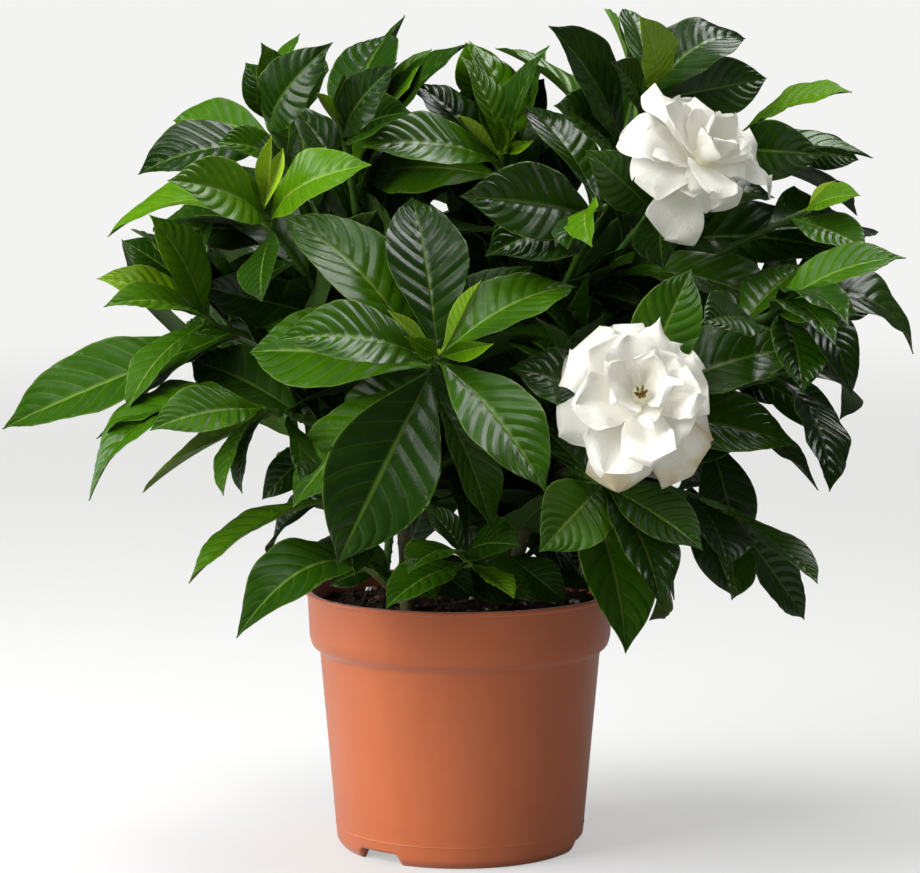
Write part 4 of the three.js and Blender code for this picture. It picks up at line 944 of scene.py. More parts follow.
SHOOTS = [
    shoot("spray_front", 0, [440, 356], -96, 3, leaves=[
        leaf(0.94, [412, 196], 84, 68, "far dark"),
        leaf(0.86, [276, 340], 62, 62, "mid"),
        leaf(0.78, [249, 352], 85, 74, "far mid"),
        leaf(0.84, [337, 565], 116, 82, "dark"),
        leaf(0.92, [547, 492], 76, 66, "mid"),
        leaf(0.90, [578, 286], 55, 62, "far mid"),
        leaf(0.98, [494, 344], 34, 28, "young light"),
        leaf(1.00, [481, 280], 20, 32, "young pale"),
        leaf(1.00, [428, 284], 30, 34, "far young pale"),
        leaf(0.99, [406, 337], 35, 28, "young light"),
        leaf(0.97, [389, 310], 14, 26, "young pale"),
        leaf(0.70, [335, 452], 50, 58, "far mid"),
        leaf(0.66, [281, 215], 74, 80, "far mid"),
        leaf(0.55, [292, 508], 60, 62, "mid"),
        leaf(0.60, [493, 531], 44, 58, "far mid"),
        leaf(0.62, [298, 392], 44, 58, "far dark"),
    ]),
    shoot("spray_upper_left", 2, [262, 214], -62, 3, leaves=[
        leaf(1.00, [272, 134], 25, 32, "young pale"),
        leaf(1.00, [284, 147], 26, 28, "far young pale"),
        leaf(0.98, [237, 163], 22, 25, "young light"),
        leaf(0.96, [229, 160], 10, 27, "far young pale"),
        leaf(0.92, [168, 180], 56, 58, "light"),
        leaf(0.90, [372, 164], 46, 52, "light"),
        leaf(0.74, [107, 236], 30, 64, "light arched"),
        leaf(0.86, [262, 302], 35, 44, "dark"),
        leaf(0.60, [224, 330], 36, 56, "far dark"),
    ]),
    shoot("spray_top_left", 2, [268, 122], -10, 2, leaves=[
        leaf(0.98, [262, 42], 38, 40, "light"),
        leaf(0.95, [333, 42], 55, 50, "dark"),
        leaf(0.90, [173, 120], 42, 48, "far mid"),
        leaf(1.00, [300, 33], 20, 42, "far mid"),
        leaf(0.70, [218, 142], 28, 46, "mid"),
        leaf(0.84, [138, 174], 50, 64, "dark"),
    ]),
    shoot("spray_top", 2, [342, 124], -30, 3, leaves=[
        leaf(1.00, [345, 73], 30, 28, "young light"),
        leaf(0.98, [317, 92], 12, 26, "young pale"),
        leaf(1.00, [355, 88], 10, 22, "far young pale"),
        leaf(0.97, [374, 83], 12, 26, "young pale"),
        leaf(0.88, [412, 112], 34, 46, "dark"),
        leaf(0.82, [393, 32], 60, 62, "far dark"),
        leaf(0.70, [432, 48], 32, 66, "far light"),
        leaf(0.60, [404, 14], 32, 70, "far dark"),
        leaf(0.92, [398, 62], 44, 40, "dark"),
    ]),
    shoot("spray_centre", 3, [502, 152], -30, 3, leaves=[
        leaf(1.00, [502, 119], 25, 24, "young light"),
        leaf(0.97, [459, 114], 11, 24, "young pale"),
        leaf(0.98, [520, 129], 10, 20, "far young pale"),
        leaf(0.99, [534, 141], 20, 22, "young light"),
        leaf(0.92, [361, 147], 50, 60, "mid"),
        leaf(0.84, [365, 176], 62, 60, "far mid"),
        leaf(0.90, [490, 86], 46, 44, "far dark"),
        leaf(0.80, [441, 97], 38, 56, "far dark"),
        leaf(0.74, [470, 40], 50, 66, "far light"),
        leaf(0.70, [549, 44], 44, 62, "far mid"),
        leaf(0.86, [410, 80], 36, 56, "far dark"),
        leaf(0.95, [462, 56], 28, 40, "far light"),
    ]),
    shoot("spray_middle", 3, [606, 206], -52, 3, leaves=[
        leaf(0.90, [460, 196], 78, 64, "dark"),
        leaf(0.76, [485, 256], 70, 66, "dark"),
        leaf(0.94, [523, 104], 42, 60, "far dark"),
        leaf(0.96, [567, 249], 28, 44, "dark"),
        leaf(0.98, [592, 247], 22, 34, "light"),
        leaf(0.80, [548, 134], 24, 52, "far light"),
    ]),
    shoot("spray_top_right", 3, [652, 92], -14, 3, leaves=[
        leaf(0.96, [626, 8], 42, 50, "far mid"),
        leaf(0.99, [640, 15], 38, 44, "pale"),
        leaf(0.90, [612, 62], 28, 40, "dark"),
        leaf(0.86, [606, 8], 14, 60, "far light"),
        leaf(0.84, [747, 38], 58, 58, "far dark arched"),
        leaf(0.95, [768, 78], 62, 50, "dark"),
        leaf(0.72, [550, 25], 50, 70, "dark"),
        leaf(0.66, [555, 105], 35, 58, "mid"),
        leaf(0.60, [496, 47], 16, 76, "far light"),
    ]),
    shoot("spray_behind_bloom", 3, [742, 134], 6, 3, leaves=[
        leaf(0.98, [853, 91], 20, 50, "light"),
        leaf(0.90, [826, 155], 62, 52, "dark"),
        leaf(0.84, [874, 157], 22, 62, "far mid"),
        leaf(0.70, [700, 104], 40, 50, "far dark"),
        leaf(0.30, [852, 254], 60, 66, "dark"),
    ]),
    shoot("spray_far_right", 3, [806, 212], -30, 3, leaves=[
        leaf(0.99, [861, 195], 22, 30, "light"),
        leaf(1.00, [836, 180], 10, 24, "young pale"),
        leaf(1.00, [846, 187], 9, 22, "young pale"),
        leaf(0.92, [868, 250], 36, 42, "mid"),
    ]),
    shoot("spray_right", 1, [790, 306], -66, 0, leaves=[
        leaf(0.92, [858, 315], 42, 46, "mid"),
        leaf(0.84, [915, 354], 44, 62, "far mid arched"),
        leaf(0.98, [833, 300], 16, 28, "light"),
        leaf(0.95, [880, 304], 44, 46, "mid"),
        leaf(0.88, [907, 257], 38, 58, "far mid"),
        leaf(0.90, [852, 399], 40, 46, "dark arched"),
        leaf(0.50, [812, 318], 45, 70, "far mid"),
        leaf(0.70, [813, 264], 44, 56, "far mid"),
        leaf(0.90, [850, 325], 12, 40, "dark"),
        leaf(0.88, [836, 344], 25, 44, "dark"),
        leaf(0.80, [703, 322], 46, 50, "dark"),
        leaf(0.94, [803, 394], 50, 48, "dark"),
    ]),
    shoot("spray_low_right", 1, [790, 374], -62, 2, leaves=[
        leaf(0.92, [841, 420], 20, 50, "far dark arched"),
        leaf(0.92, [831, 492], 38, 54, "dark"),
        leaf(0.40, [820, 490], 26, 60, "far dark"),
        leaf(0.60, [706, 350], 44, 60, "far dark"),
    ]),
    shoot("spray_lowest_right", 1, [736, 512], -44, 1, leaves=[
        leaf(0.98, [819, 583], 26, 50, "flat mid"),
        leaf(0.88, [806, 620], 46, 60, "far flat dark"),
        leaf(0.94, [733, 600], 40, 46, "flat mid"),
        leaf(0.60, [728, 566], 44, 62, "dark"),
    ]),
    shoot("spray_under_bloom", 1, [604, 486], -84, 3, leaves=[
        leaf(0.12, [627, 654], 74, 76, "mid"),
        leaf(0.10, [584, 574], 46, 56, "far dark"),
        leaf(0.96, [540, 552], 80, 50, "mid"),
        leaf(0.96, [704, 550], 52, 50, "dark"),
        leaf(0.84, [662, 608], 54, 60, "dark"),
        leaf(0.70, [652, 621], 30, 72, "far mid"),
        leaf(0.90, [676, 600], 16, 56, "far dark"),
        leaf(0.60, [505, 402], 60, 62, "far dark"),
    ]),
    shoot("spray_low_front", 0, [470, 566], -76, 0, leaves=[
        leaf(0.98, [386, 608], 38, 46, "mid"),
        leaf(0.90, [408, 573], 24, 44, "mid"),
        leaf(0.94, [424, 506], 26, 34, "mid"),
        leaf(0.96, [515, 598], 20, 30, "light"),
        leaf(0.90, [452, 464], 42, 50, "far dark"),
        leaf(0.85, [522, 546], 40, 48, "dark"),
        leaf(0.80, [532, 602], 30, 46, "mid"),
    ]),
    shoot("spray_lowest_front", 0, [386, 584], -60, 0, leaves=[
        leaf(0.98, [236, 638], 54, 70, "dark arched"),
        leaf(0.92, [357, 557], 24, 30, "mid"),
        leaf(0.86, [438, 600], 34, 44, "dark"),
        leaf(0.74, [330, 586], 34, 46, "dark"),
        leaf(0.80, [300, 556], 26, 46, "far dark"),
    ]),
    shoot("spray_left", 2, [206, 322], -48, 3, leaves=[
        leaf(1.00, [150, 214], 46, 50, "light"),
        leaf(0.98, [217, 212], 26, 46, "far mid"),
        leaf(0.94, [97, 278], 34, 48, "pale"),
        leaf(0.96, [124, 276], 20, 40, "far light"),
        leaf(0.92, [104, 306], 24, 44, "light"),
        leaf(0.97, [143, 245], 30, 44, "far light"),
        leaf(0.80, [132, 228], 26, 62, "far dark"),
        leaf(0.74, [2, 428], 64, 86, "flat mid"),
        leaf(0.97, [127, 413], 30, 44, "mid"),
        leaf(0.70, [120, 430], 26, 66, "far dark"),
    ]),
    shoot("spray_low_left", 0, [262, 410], -72, 2, leaves=[
        leaf(0.96, [150, 430], 48, 50, "mid"),
        leaf(0.90, [96, 438], 32, 66, "far mid"),
        leaf(0.80, [88, 501], 34, 72, "far mid arched"),
        leaf(0.80, [142, 492], 14, 62, "far pale"),
        leaf(0.98, [223, 496], 16, 38, "mid"),
        leaf(0.99, [242, 494], 16, 36, "far dark"),
        leaf(0.76, [300, 480], 26, 40, "dark"),
    ]),
    shoot("spray_lowest_left", 0, [330, 500], -52, 1, leaves=[
        leaf(0.94, [188, 583], 22, 62, "light"),
        leaf(0.90, [270, 558], 20, 46, "far dark"),
        leaf(0.98, [356, 575], 30, 42, "dark"),
    ]),
    shoot("spray_bloom_front", 1, [640, 404], -92, 2,
          bloom="bloom_front", facing=[-0.02, -0.93, 0.36], leaves=[
        leaf(0.50, [799, 446], 64, 68, "mid"),
        leaf(0.84, [692, 268], 70, 48, "mid"),
        leaf(0.70, [510, 368], 56, 60, "dark"),
        leaf(0.64, [635, 318], 60, 58, "far dark"),
        leaf(0.60, [715, 342], 50, 56, "far dark"),
    ]),
    shoot("spray_bloom_upper", 3, [690, 172], -44, 2,
          bloom="bloom_upper", facing=[0.5, -0.62, 0.6], leaves=[
        leaf(0.75, [586, 150], 56, 46, "mid"),
        leaf(0.45, [802, 326], 46, 70, "mid"),
        leaf(0.86, [664, 269], 50, 50, "dark"),
    ]),
]
# The back, which the picture doesn't show: the cutting, the bud's place and the leaves by rule.
BACK_BUDS = [(2, (-104, 22, 190), 8), (2, (-60, 66, 214), 9), (3, (4, 40, 250), 9),
             (3, (64, 66, 214), 9), (3, (112, 24, 190), 8), (2, (-8, 94, 190), 9),
             (2, (-74, 56, 146), 8), (3, (78, 56, 146), 8), (3, (6, 76, 146), 7)]
for k, (cutting, bud, fill) in enumerate(BACK_BUDS):
    SHOOTS.append({"name": f"spray_back_{k + 1}", "cutting": cutting, "fill": fill, "leaves": (),
                   "foot": np.array(bud, float), "bloom": None, "facing": None, "front": False})
print("shoots:", len(SHOOTS))
print("leaves that the picture shows:", sum(len(row["leaves"]) for row in SHOOTS))

# %% The ways of the shoots
UP = np.array([0.0, 0.0, 1.0])
SHOOT_START, STALK_END, JOINT_GAP = 0.38, 4.0, 0.3
BEND_PLACE, BEND_RISE = 0.4, 0.14


def square_to(direction, axis):
    """The part of a direction that is square to an axis, with length 1."""
    return unit(direction - axis * np.dot(direction, axis))


def bloom_frame(facing):
    """The way that a bloom faces, its upward direction and its right-hand one."""
    forward = unit(facing)
    upward = square_to(UP, forward)
    return forward, upward, np.cross(upward, forward)


for row in SHOOTS:
    crown = np.array(CUTTINGS[row["cutting"]][2], float)
    bud = row["foot"]
    if row["facing"] is not None:
        bud = bud - bloom_frame(row["facing"])[0] * STALK_END
    bend = crown + (bud - crown) * BEND_PLACE + UP * BEND_RISE * np.linalg.norm(bud - crown)
    row["whole"] = Arc(crown, bend, bud)
    gap = JOINT_GAP / row["whole"].table()[-1]
    row["curve"] = Stretch(row["whole"], SHOOT_START + gap, 1.0)
print("longest branch:", round(max(row["whole"].table()[-1] for row in SHOOTS)), "mm")

# %% [markdown]
# ## Woody stems
# Each cutting is a bent trunk with a branch for each of its shoots. The bark has rings where
# leaves once sat, so the radius swells a little at even steps.

# %% The woody stems
ROOTED_DEPTH = 34.0
TRUNK_RADIUS, BRANCH_RADIUS = 3.0, 2.1
TRUNKS = []


def leaf_scars(share, count, height):
    """A narrow ring at each of a number of even steps: height·max(0, cos(2pi·count·share))^6."""
    return height * np.maximum(0, np.cos(share * 2 * math.pi * count)) ** 6


for index, (name, (x, y), crown) in enumerate(CUTTINGS):
    wood = Collector()
    collar = np.array([x, y, SOIL_TOP + 4.0])
    trunk = Arc(collar, collar + UP * 20, np.array(crown, float) + UP * 2)
    TRUNKS.append(trunk)
    rooted = collar + UP * np.linspace(-4 - ROOTED_DEPTH, -0.5, 14)[:, None]
    path = np.concatenate([rooted, trunk.at(np.linspace(0, 1, 46))])
    share = np.linspace(0, 1, len(path))
    wood.add(*tube(path, TRUNK_RADIUS - 0.5 * share + leaf_scars(share, 9, 0.28), 18))
    share = np.linspace(0, 1, 26)
    taper = np.sqrt(np.clip((1 - share) * 14 + 0.35, 0, 1))
    thickness = (BRANCH_RADIUS + leaf_scars(share, 4, 0.22)) * taper
    for row in SHOOTS:
        if row["cutting"] == index:
            wood.add(*tube(row["whole"].at(share * SHOOT_START), thickness, 12))
    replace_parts(wood.make(f"woody_{name}", [bark]), name)
print("woody stems:", len(CUTTINGS))

# %% [markdown]
# ## The surface of a leaf
# A leaf's blade is a function of t, from its root to its tip, and u, from its left edge to its
# right one. The midrib bows off the straight line, the halves fold up about it, and the whole
# twists. On top of that come the groove of the midrib, the swelling between side veins and the
# waves of the edge. The rows of the grid follow the side veins, so the valleys stay sharp. The
# upper and the lower face are two such surfaces a third of a millimetre apart that share their
# edges, so the leaf is one thin closed skin.

# %% The blade
HALF_WAY = np.array([0, 0.13, 0.32, 0.58, 0.82, 0.965, 1])
EDGE_TO_EDGE = np.concatenate([-HALF_WAY[:0:-1], HALF_WAY])
ROUND = np.concatenate([EDGE_TO_EDGE, EDGE_TO_EDGE[-2:0:-1]])
UNDERSIDE = np.arange(len(ROUND)) >= len(EDGE_TO_EDGE)
UNDERSIDE_STRIPS = (np.arange(len(ROUND)) >= len(EDGE_TO_EDGE) - 1).astype(float)
TIP_LEVELS = [0.988, 0.996]
USUAL_LENGTH = 70


def step_between(low, high, x):
    """0 below low, 1 above high and s²(3-2s) between."""
    s = np.clip((x - low) / (high - low), 0, 1)
    return s * s * (3 - 2 * s)


def blade_spine(blade, t):
    """The midrib and the two directions at each t. The midrib rises off the line by
    4·bow·t(1-t) of the length. Both directions tip with its slope and turn by twist·(t-½)."""
    root, tip, normal = blade["root"], blade["tip"], blade["normal"]
    length = np.linalg.norm(tip - root)
    along = (tip - root) / length
    side = np.cross(normal, along)
    t = t[..., None]
    slope = np.arctan(4 * blade["bow"] * (1 - 2 * t))
    lifted = normal * np.cos(slope) - along * np.sin(slope)
    turn = blade["twist"] * (t - 0.5)
    across = side * np.cos(turn) + lifted * np.sin(turn)
    face = lifted * np.cos(turn) - side * np.sin(turn)
    spine = root + along * length * t + normal * length * 4 * blade["bow"] * t * (1 - t)
    return spine, across, face, length


def leaf_outline(blade, t):
    """Half the blade's width: sin(pi·t^1.22)^1.05 with a drawn-out point, and a thin stalk."""
    outline = np.sin(np.pi * t**1.22) ** 1.05 * (1 - 0.3 * step_between(0.86, 1.0, t))
    return np.maximum(blade["width"] / 2 * outline, 0.9 * (1 - step_between(0.1, 0.2, t)))


def leaf_surface(blade, rows_per_vein, draw):
    """The closed skin of one leaf. Each row of its grid sweeps forward as a side vein does:
    t = level + half width·(0.62·|u| + 0.3·u²)/length, so veins·level is the vein number. Height
    over the folded blade = groove along the midrib + swelling between the veins, none at the
    midrib and the edge, + waves that grow with u²."""
    veins = blade["veins"]
    steps = veins * rows_per_vein
    level = np.append(np.arange(steps) / steps, TIP_LEVELS)[:, None]
    u = ROUND[None]
    off = np.abs(u)
    reach = np.linalg.norm(blade["tip"] - blade["root"])
    sweep = leaf_outline(blade, level) / reach * (0.62 * off + 0.3 * off**2)
    t = np.minimum(level + sweep * step_between(0.02, 0.2, level), 1)
    spine, across, face, length = blade_spine(blade, t)
    half = leaf_outline(blade, t)
    vein = veins * level + 0 * u
    between = np.abs(2 * (vein % 1) - 1)
    size = length / USUAL_LENGTH
    room = np.sqrt(np.clip(4 * off * (1.04 - off), 0, 1))
    room = room * step_between(0.08, 0.25, t) * (1 - step_between(0.86, 1, t))
    swelling = blade["quilt"] * size * (1 - between**2.2) * room
    groove = -0.5 * size * np.exp(-((u * half / 1.1) ** 2)) * step_between(0.05, 0.2, t)
    phase = draw.uniform(0, 2 * math.pi, 2)
    pace = draw.uniform(2.2, 4.2)
    wave_phase = np.where(u < 0, phase[0], phase[1])
    waves = blade["waves"] * size * off**2 * np.sin(2 * math.pi * pace * t + wave_phase)
    waves = waves * step_between(0.1, 0.35, t) * (1 - step_between(0.9, 1, t))
    rise = half * math.sin(blade["fold"]) * off**1.3 + swelling + groove + waves
    stalk = 1 - step_between(0.03, 0.16, t)
    thin = 0.17 * (1 - u**4) + 0.7 * stalk * np.sqrt(1 - u**2)
    rib = 0.75 * size * np.exp(-((u * half / 0.85) ** 2)) * (1 - 0.85 * t)
    rise = rise + np.where(UNDERSIDE[None], -thin - rib, thin)
    sideways = half * u * math.cos(blade["fold"])
    points = spine + across * sideways[..., None] + face * rise[..., None]
    points = np.concatenate([points.reshape(-1, 3), [blade["tip"]]])
    t_all = np.append(t, 1.0)
    uv = np.stack([np.append(u * half, 0), t_all * length], axis=-1) / 100
    rows, columns = len(level), len(ROUND)
    walls = grid_faces(rows, columns, True)
    tip_fan = fan((rows - 1) * columns, columns, rows * columns)
    foot = np.arange(columns)[None]
    batches = [Faces(walls, 0, uv[walls], np.tile(UNDERSIDE_STRIPS, rows - 1)),
               Faces(tip_fan, 0, uv[tip_fan], UNDERSIDE_STRIPS), Faces(foot, 0, uv[foot], 1.0)]
    values = {"vein": np.append(vein, veins), "across": np.append(off + 0 * t, 0.5),
              "tone": np.clip(blade["tone"] + blade["tip_tone"] * t_all, 0, 1)}
    return points, batches, values

# %% [markdown]
# ## Which way each leaf went
# While the solids grew, a leaf that would have met another piece bent aside, and one that found
# no room wasn't grown. Each leaf had a list of ways to go, in a fixed order. The tip of the way
# that it took is a corner of its node's solid, so the script tries them all and keeps the one
# whose tip is there.

# %% The ways of a leaf that the picture shows
ROOT_SHIFTS = (0, 0.05, 0.1, 0.16, 0.22)
BENDS = (0, -7, 7, -14, 14, -22, 22, -31, 31, -42, 42)
TONES = {"dark": 0.17, "mid": 0.39, "light": 0.56, "pale": 0.78}
FILL_TONE = 0.2


def seen_normal(root, tip, width, shown):
    """The way that the upper face points, so that the eye sees it as wide as the picture shows:
    the share of it that faces the eye is shown width / true width, and the rest looks up."""
    along = unit(tip - root)
    to_eye = EYE - (root + tip) / 2
    distance = np.linalg.norm(to_eye)
    flat = unit(np.cross(along, to_eye))
    share = min(1.0, shown * distance / FOCAL_PIXELS / width)
    upward = 1 if flat[2] >= 0 else -1
    return np.cross(flat, along) * share + flat * upward * math.sqrt(1 - share**2)


def seen_ways(row, index, curve):
    """Every way of one such leaf, each a blade with its root, tip, normal and width."""
    young = "young" in row["traits"]
    ways = []
    for shift in ROOT_SHIFTS:
        root = curve.at(row["at"] - shift)
        nominal = reach_to(row["tip"], root, row["length"], "far" in row["traits"])
        seen = row["shown"] * np.linalg.norm(nominal - EYE) / FOCAL_PIXELS
        width = max(seen, row["length"] * (0.34 if young else 0.46))
        for bend in BENDS:
            tip = nominal + unit(nominal - EYE) * bend
            ways.append({"root": root, "tip": tip, "width": width,
                         "normal": seen_normal(root, tip, width, row["shown"])})
    bow = (0.27 if "arched" in row["traits"] else 0.09) + 0.04 * math.sin(1.7 * index)
    bow = -0.05 if young else 0.02 if "flat" in row["traits"] else bow
    form = {"bow": bow, "fold": 0.9 if young else 0.2, "twist": 0.25 * math.sin(2.4 * index)}
    return ways, form


# %% The ways of a leaf placed by rule
def random_source(seed):
    """Even random numbers from 0 to 1, the same ones that the solids were drawn with."""
    state = seed

    def draw():
        nonlocal state
        word = 0xFFFFFFFF
        state = (state + 0x6D2B79F5) & word
        value = ((state ^ (state >> 15)) * (1 | state)) & word
        value = ((value + (((value ^ (value >> 7)) * (61 | value)) & word)) & word) ^ value
        return ((value ^ (value >> 14)) & word) / 4294967296
    return draw


def inside_outline(point):
    """Whether a point lies inside the outline that the bush shows in the picture: half an
    ellipse over the middle's height, and under it a wedge that narrows evenly."""
    across, above = abs(point[0] - 14) / 148, point[2] - 226
    return across - above / 180 < 1 if above < 0 else across**2 + (above / 105) ** 2 < 1


def drawn_leaf(row, index, random):
    """One draw: leaves spiral round the shoot by the golden angle and lean out from it."""
    place = 0.22 + 0.76 * (index + 0.2 + 0.6 * random()) / row["fill"]
    angle = 2.4 * index + 0.7 * random()
    lean = 0.75 + 0.5 * random()
    length = 56 + 20 * random()
    ratio = 0.44 + 0.08 * random()
    root, stem = row["curve"].at(place), row["curve"].tangent(place)
    level = unit(np.cross(stem, UP))
    outward = level * math.cos(angle) + np.cross(level, stem) * math.sin(angle)
    along = stem * math.cos(lean) + outward * math.sin(lean)
    if row["front"]:
        along[1] = abs(along[1])
    along[2] = max(along[2], -0.3)
    along = unit(along)
    return root, along, square_to(stem + UP - outward * 0.2, along), length, length * ratio


DRAWS = 10


def filled_ways(row, index, random):
    """Every way of a leaf placed by rule. Up to ten draws are made until its tip lies inside
    the bush's outline. A leaf that bends keeps its length."""
    form = {"bow": 0.1, "fold": 0.22, "twist": 0.3 * (index % 2) - 0.15}
    for _ in range(DRAWS):
        root, along, normal, length, width = drawn_leaf(row, index, random)
        if inside_outline(root + along * length):
            break
    else:
        return [], form
    ways = []
    for bend in BENDS:
        reach = unit(along * length + normal * bend)
        ways.append({"root": root, "tip": root + reach * length, "width": width,
                     "normal": square_to(normal, reach)})
    return ways, form


# %% Finding the way taken
def solid_corners(node):
    """The corners of a node's solid, in mm round the pot's axis."""
    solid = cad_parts[node]
    flat = np.empty(len(solid.data.vertices) * 3)
    solid.data.vertices.foreach_get("co", flat)
    turn = np.array(solid.matrix_world)
    return (flat.reshape(-1, 3) @ turn[:3, :3].T + turn[:3, 3] - POT_AXIS) * 1000


TIP_TOLERANCE = 0.5


def way_taken(ways, corners, taken):
    """The way whose tip lies nearest to a corner that no other leaf has taken, or None where
    that is farther off than a tip can be."""
    if not ways:
        return None
    tips = np.array([way["tip"] for way in ways])
    apart = np.linalg.norm(tips[:, None] - corners[None], axis=-1)
    apart[:, list(taken)] = math.inf
    nearest = apart.min(axis=1)
    way = int(nearest.argmin())
    if nearest[way] > TIP_TOLERANCE:
        return None
    taken.add(int(apart[way].argmin()))
    return ways[way]


grown = 0
for number, row in enumerate(SHOOTS):
    fill_random = random_source(1700 + number)
    corners, taken = solid_corners(row["name"]), set()
    row["blades"] = []
    for index, seen_leaf in enumerate(row["leaves"]):
        ways, form = seen_ways(seen_leaf, index, row["curve"])
        way = way_taken(ways, corners, taken)
        if way is not None:
            traits = seen_leaf["traits"]
            tone = next(TONES[word] for word in traits if word in TONES)
            row["blades"].append({**way, **form, "tone": tone, "young": "young" in traits,
                                  "seen": True})
    for index in range(row["fill"]):
        ways, form = filled_ways(row, index, fill_random)
        way = way_taken(ways, corners, taken)
        if way is not None:
            row["blades"].append({**way, **form, "tone": FILL_TONE, "young": False, "seen": False})
    grown += len(row["blades"])
print("leaves found in the solids:", grown)

# %% [markdown]
# ## The leafy shoots
# Each shoot becomes one piece: its green stem, swollen where a leaf sits, its leaves, and behind
# a bloom the cup with its long sepals. Leaves that the picture shows get a fine grid, and those
# placed by rule a coarser one, since they mostly fill the inside and the back.

# %% Making the shoots
SEEN_ROWS, FILL_ROWS, SEPAL_ROWS = 4, 2, 1
STEM_RADIUS, KNOT_WIDTH = 1.9, 0.014
SEPALS, SEPAL_LENGTH, SEPAL_WIDTH = 6, 15, 4.2
CUP_DEPTH = 7
LEAF_VALUES = ("tone", "vein", "across")


def add_leaf(part, blade, rows_per_vein, draw):
    """Adds one leaf with its own small differences."""
    young = blade["young"]
    blade = {"veins": round(draw.uniform(9.6, 12.4)),
             "quilt": 0.3 if young else draw.uniform(0.4, 1.0),
             "waves": 0.15 if young else draw.uniform(0.35, 1.0),
             "tip_tone": 0.12 if young else -0.03, **blade}
    blade["tone"] = float(np.clip(blade["tone"] + draw.uniform(-0.06, 0.06), 0, 1))
    points, batches, values = leaf_surface(blade, rows_per_vein, draw)
    part.add(points, batches, **values)


def spoke(upward, right, turn):
    """The direction at an angle round a bloom's axis, from its upward side to its right."""
    return upward * math.cos(turn) + right * math.sin(turn)


def calyx_blades(forward, upward, right, foot):
    """Narrow sepals laid back along the stem, at even turns round it."""
    blades = []
    for k in range(SEPALS):
        outward = spoke(upward, right, 2 * math.pi * k / SEPALS)
        root = foot - forward * 2.5
        along = outward * 0.75 - forward * 0.66
        blades.append({"root": root, "tip": root + along * SEPAL_LENGTH, "width": SEPAL_WIDTH,
                       "normal": outward * 0.66 + forward * 0.75, "bow": 0.08, "fold": 0.2,
                       "twist": 0.0, "tone": 0.55, "young": True})
    return blades


triangles = 0
share = np.linspace(0, 1, 60)
knots = sum(np.exp(-(((share - place) / KNOT_WIDTH) ** 2)) for place in np.linspace(0.15, 0.97, 7))
stem_radius = STEM_RADIUS - 0.8 * share + 0.35 * np.minimum(knots, 1)
cup_share = np.linspace(0, 1, 12)
for number, row in enumerate(SHOOTS):
    draw = np.random.default_rng(3000 + number)
    part = Collector(*LEAF_VALUES)
    part.add(*tube(row["curve"].at(share), stem_radius, 12, material=1))
    for blade in row["blades"]:
        add_leaf(part, blade, SEEN_ROWS if blade["seen"] else FILL_ROWS, draw)
    if row["facing"] is not None:
        forward, upward, right = bloom_frame(row["facing"])
        cup_line = row["foot"] + forward * np.linspace(-CUP_DEPTH, 0, len(cup_share))[:, None]
        part.add(*tube(cup_line, 1.6 + 2.7 * cup_share**0.7, 18, material=1))
        for blade in calyx_blades(forward, upward, right, row["foot"]):
            add_leaf(part, blade, SEPAL_ROWS, draw)
    piece = part.make(f"{row['name']}_leaves", [leaf_skin, shoot_green])
    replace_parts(piece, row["name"])
    triangles += sum(len(poly.vertices) - 2 for poly in piece.data.polygons)
print("triangles in the shoots:", triangles)

# %% [markdown]
# ## Leaves inside the bush
# The real bush is full of older, darker leaves that the picture hardly shows, and they make the
# depths look black. Here they grow by rule along every branch and trunk, and any whose tip would
# leave the bush's rounded shape is left out. Each has a coarse grid, because only glimpses of it
# show. A few more are set one by one, where the picture shows an old leaf between the large ones.

# %% The inner leaves
INNER_PER_SHOOT, INNER_ROWS, LOW_PER_STEM = 15, 1, 16
BUSH_MIDDLE, BUSH_REACH, BUSH_FOOT = np.array([0, 20, 196]), np.array([146, 88, 104]), 108


def inside_bush(point):
    """Whether a point lies in the bush's ellipsoid, in its outline and over its foot."""
    near = np.sum(((point - BUSH_MIDDLE) / BUSH_REACH) ** 2) < 1
    return near and inside_outline(point) and point[2] > BUSH_FOOT


def inner_blades(path, first, last, count, draw):
    """Blades at random places on a path, which lean outwards and up by random amounts and lie
    inside the bush."""
    blades = []
    for place in draw.uniform(first, last, count):
        root, stem = path.at(place), path.tangent(place)
        outward = unit(np.cross(stem, draw.normal(0, 1, 3)))
        lean = draw.uniform(0.6, 1.3)
        along = unit(stem * math.cos(lean) + outward * math.sin(lean) + [0, 0, 0.1])
        length = draw.uniform(42, 66)
        tip = root + along * length
        normal = square_to(UP * 0.8 + outward * 0.3 + draw.normal(0, 0.35, 3), along)
        if inside_bush(tip):
            blades.append({"root": root, "tip": tip, "normal": normal,
                           "width": length * draw.uniform(0.4, 0.5),
                           "bow": draw.uniform(0.04, 0.2), "fold": draw.uniform(0.1, 0.4),
                           "twist": draw.uniform(-0.4, 0.4), "tone": draw.uniform(0.02, 0.26),
                           "young": False})
    return blades


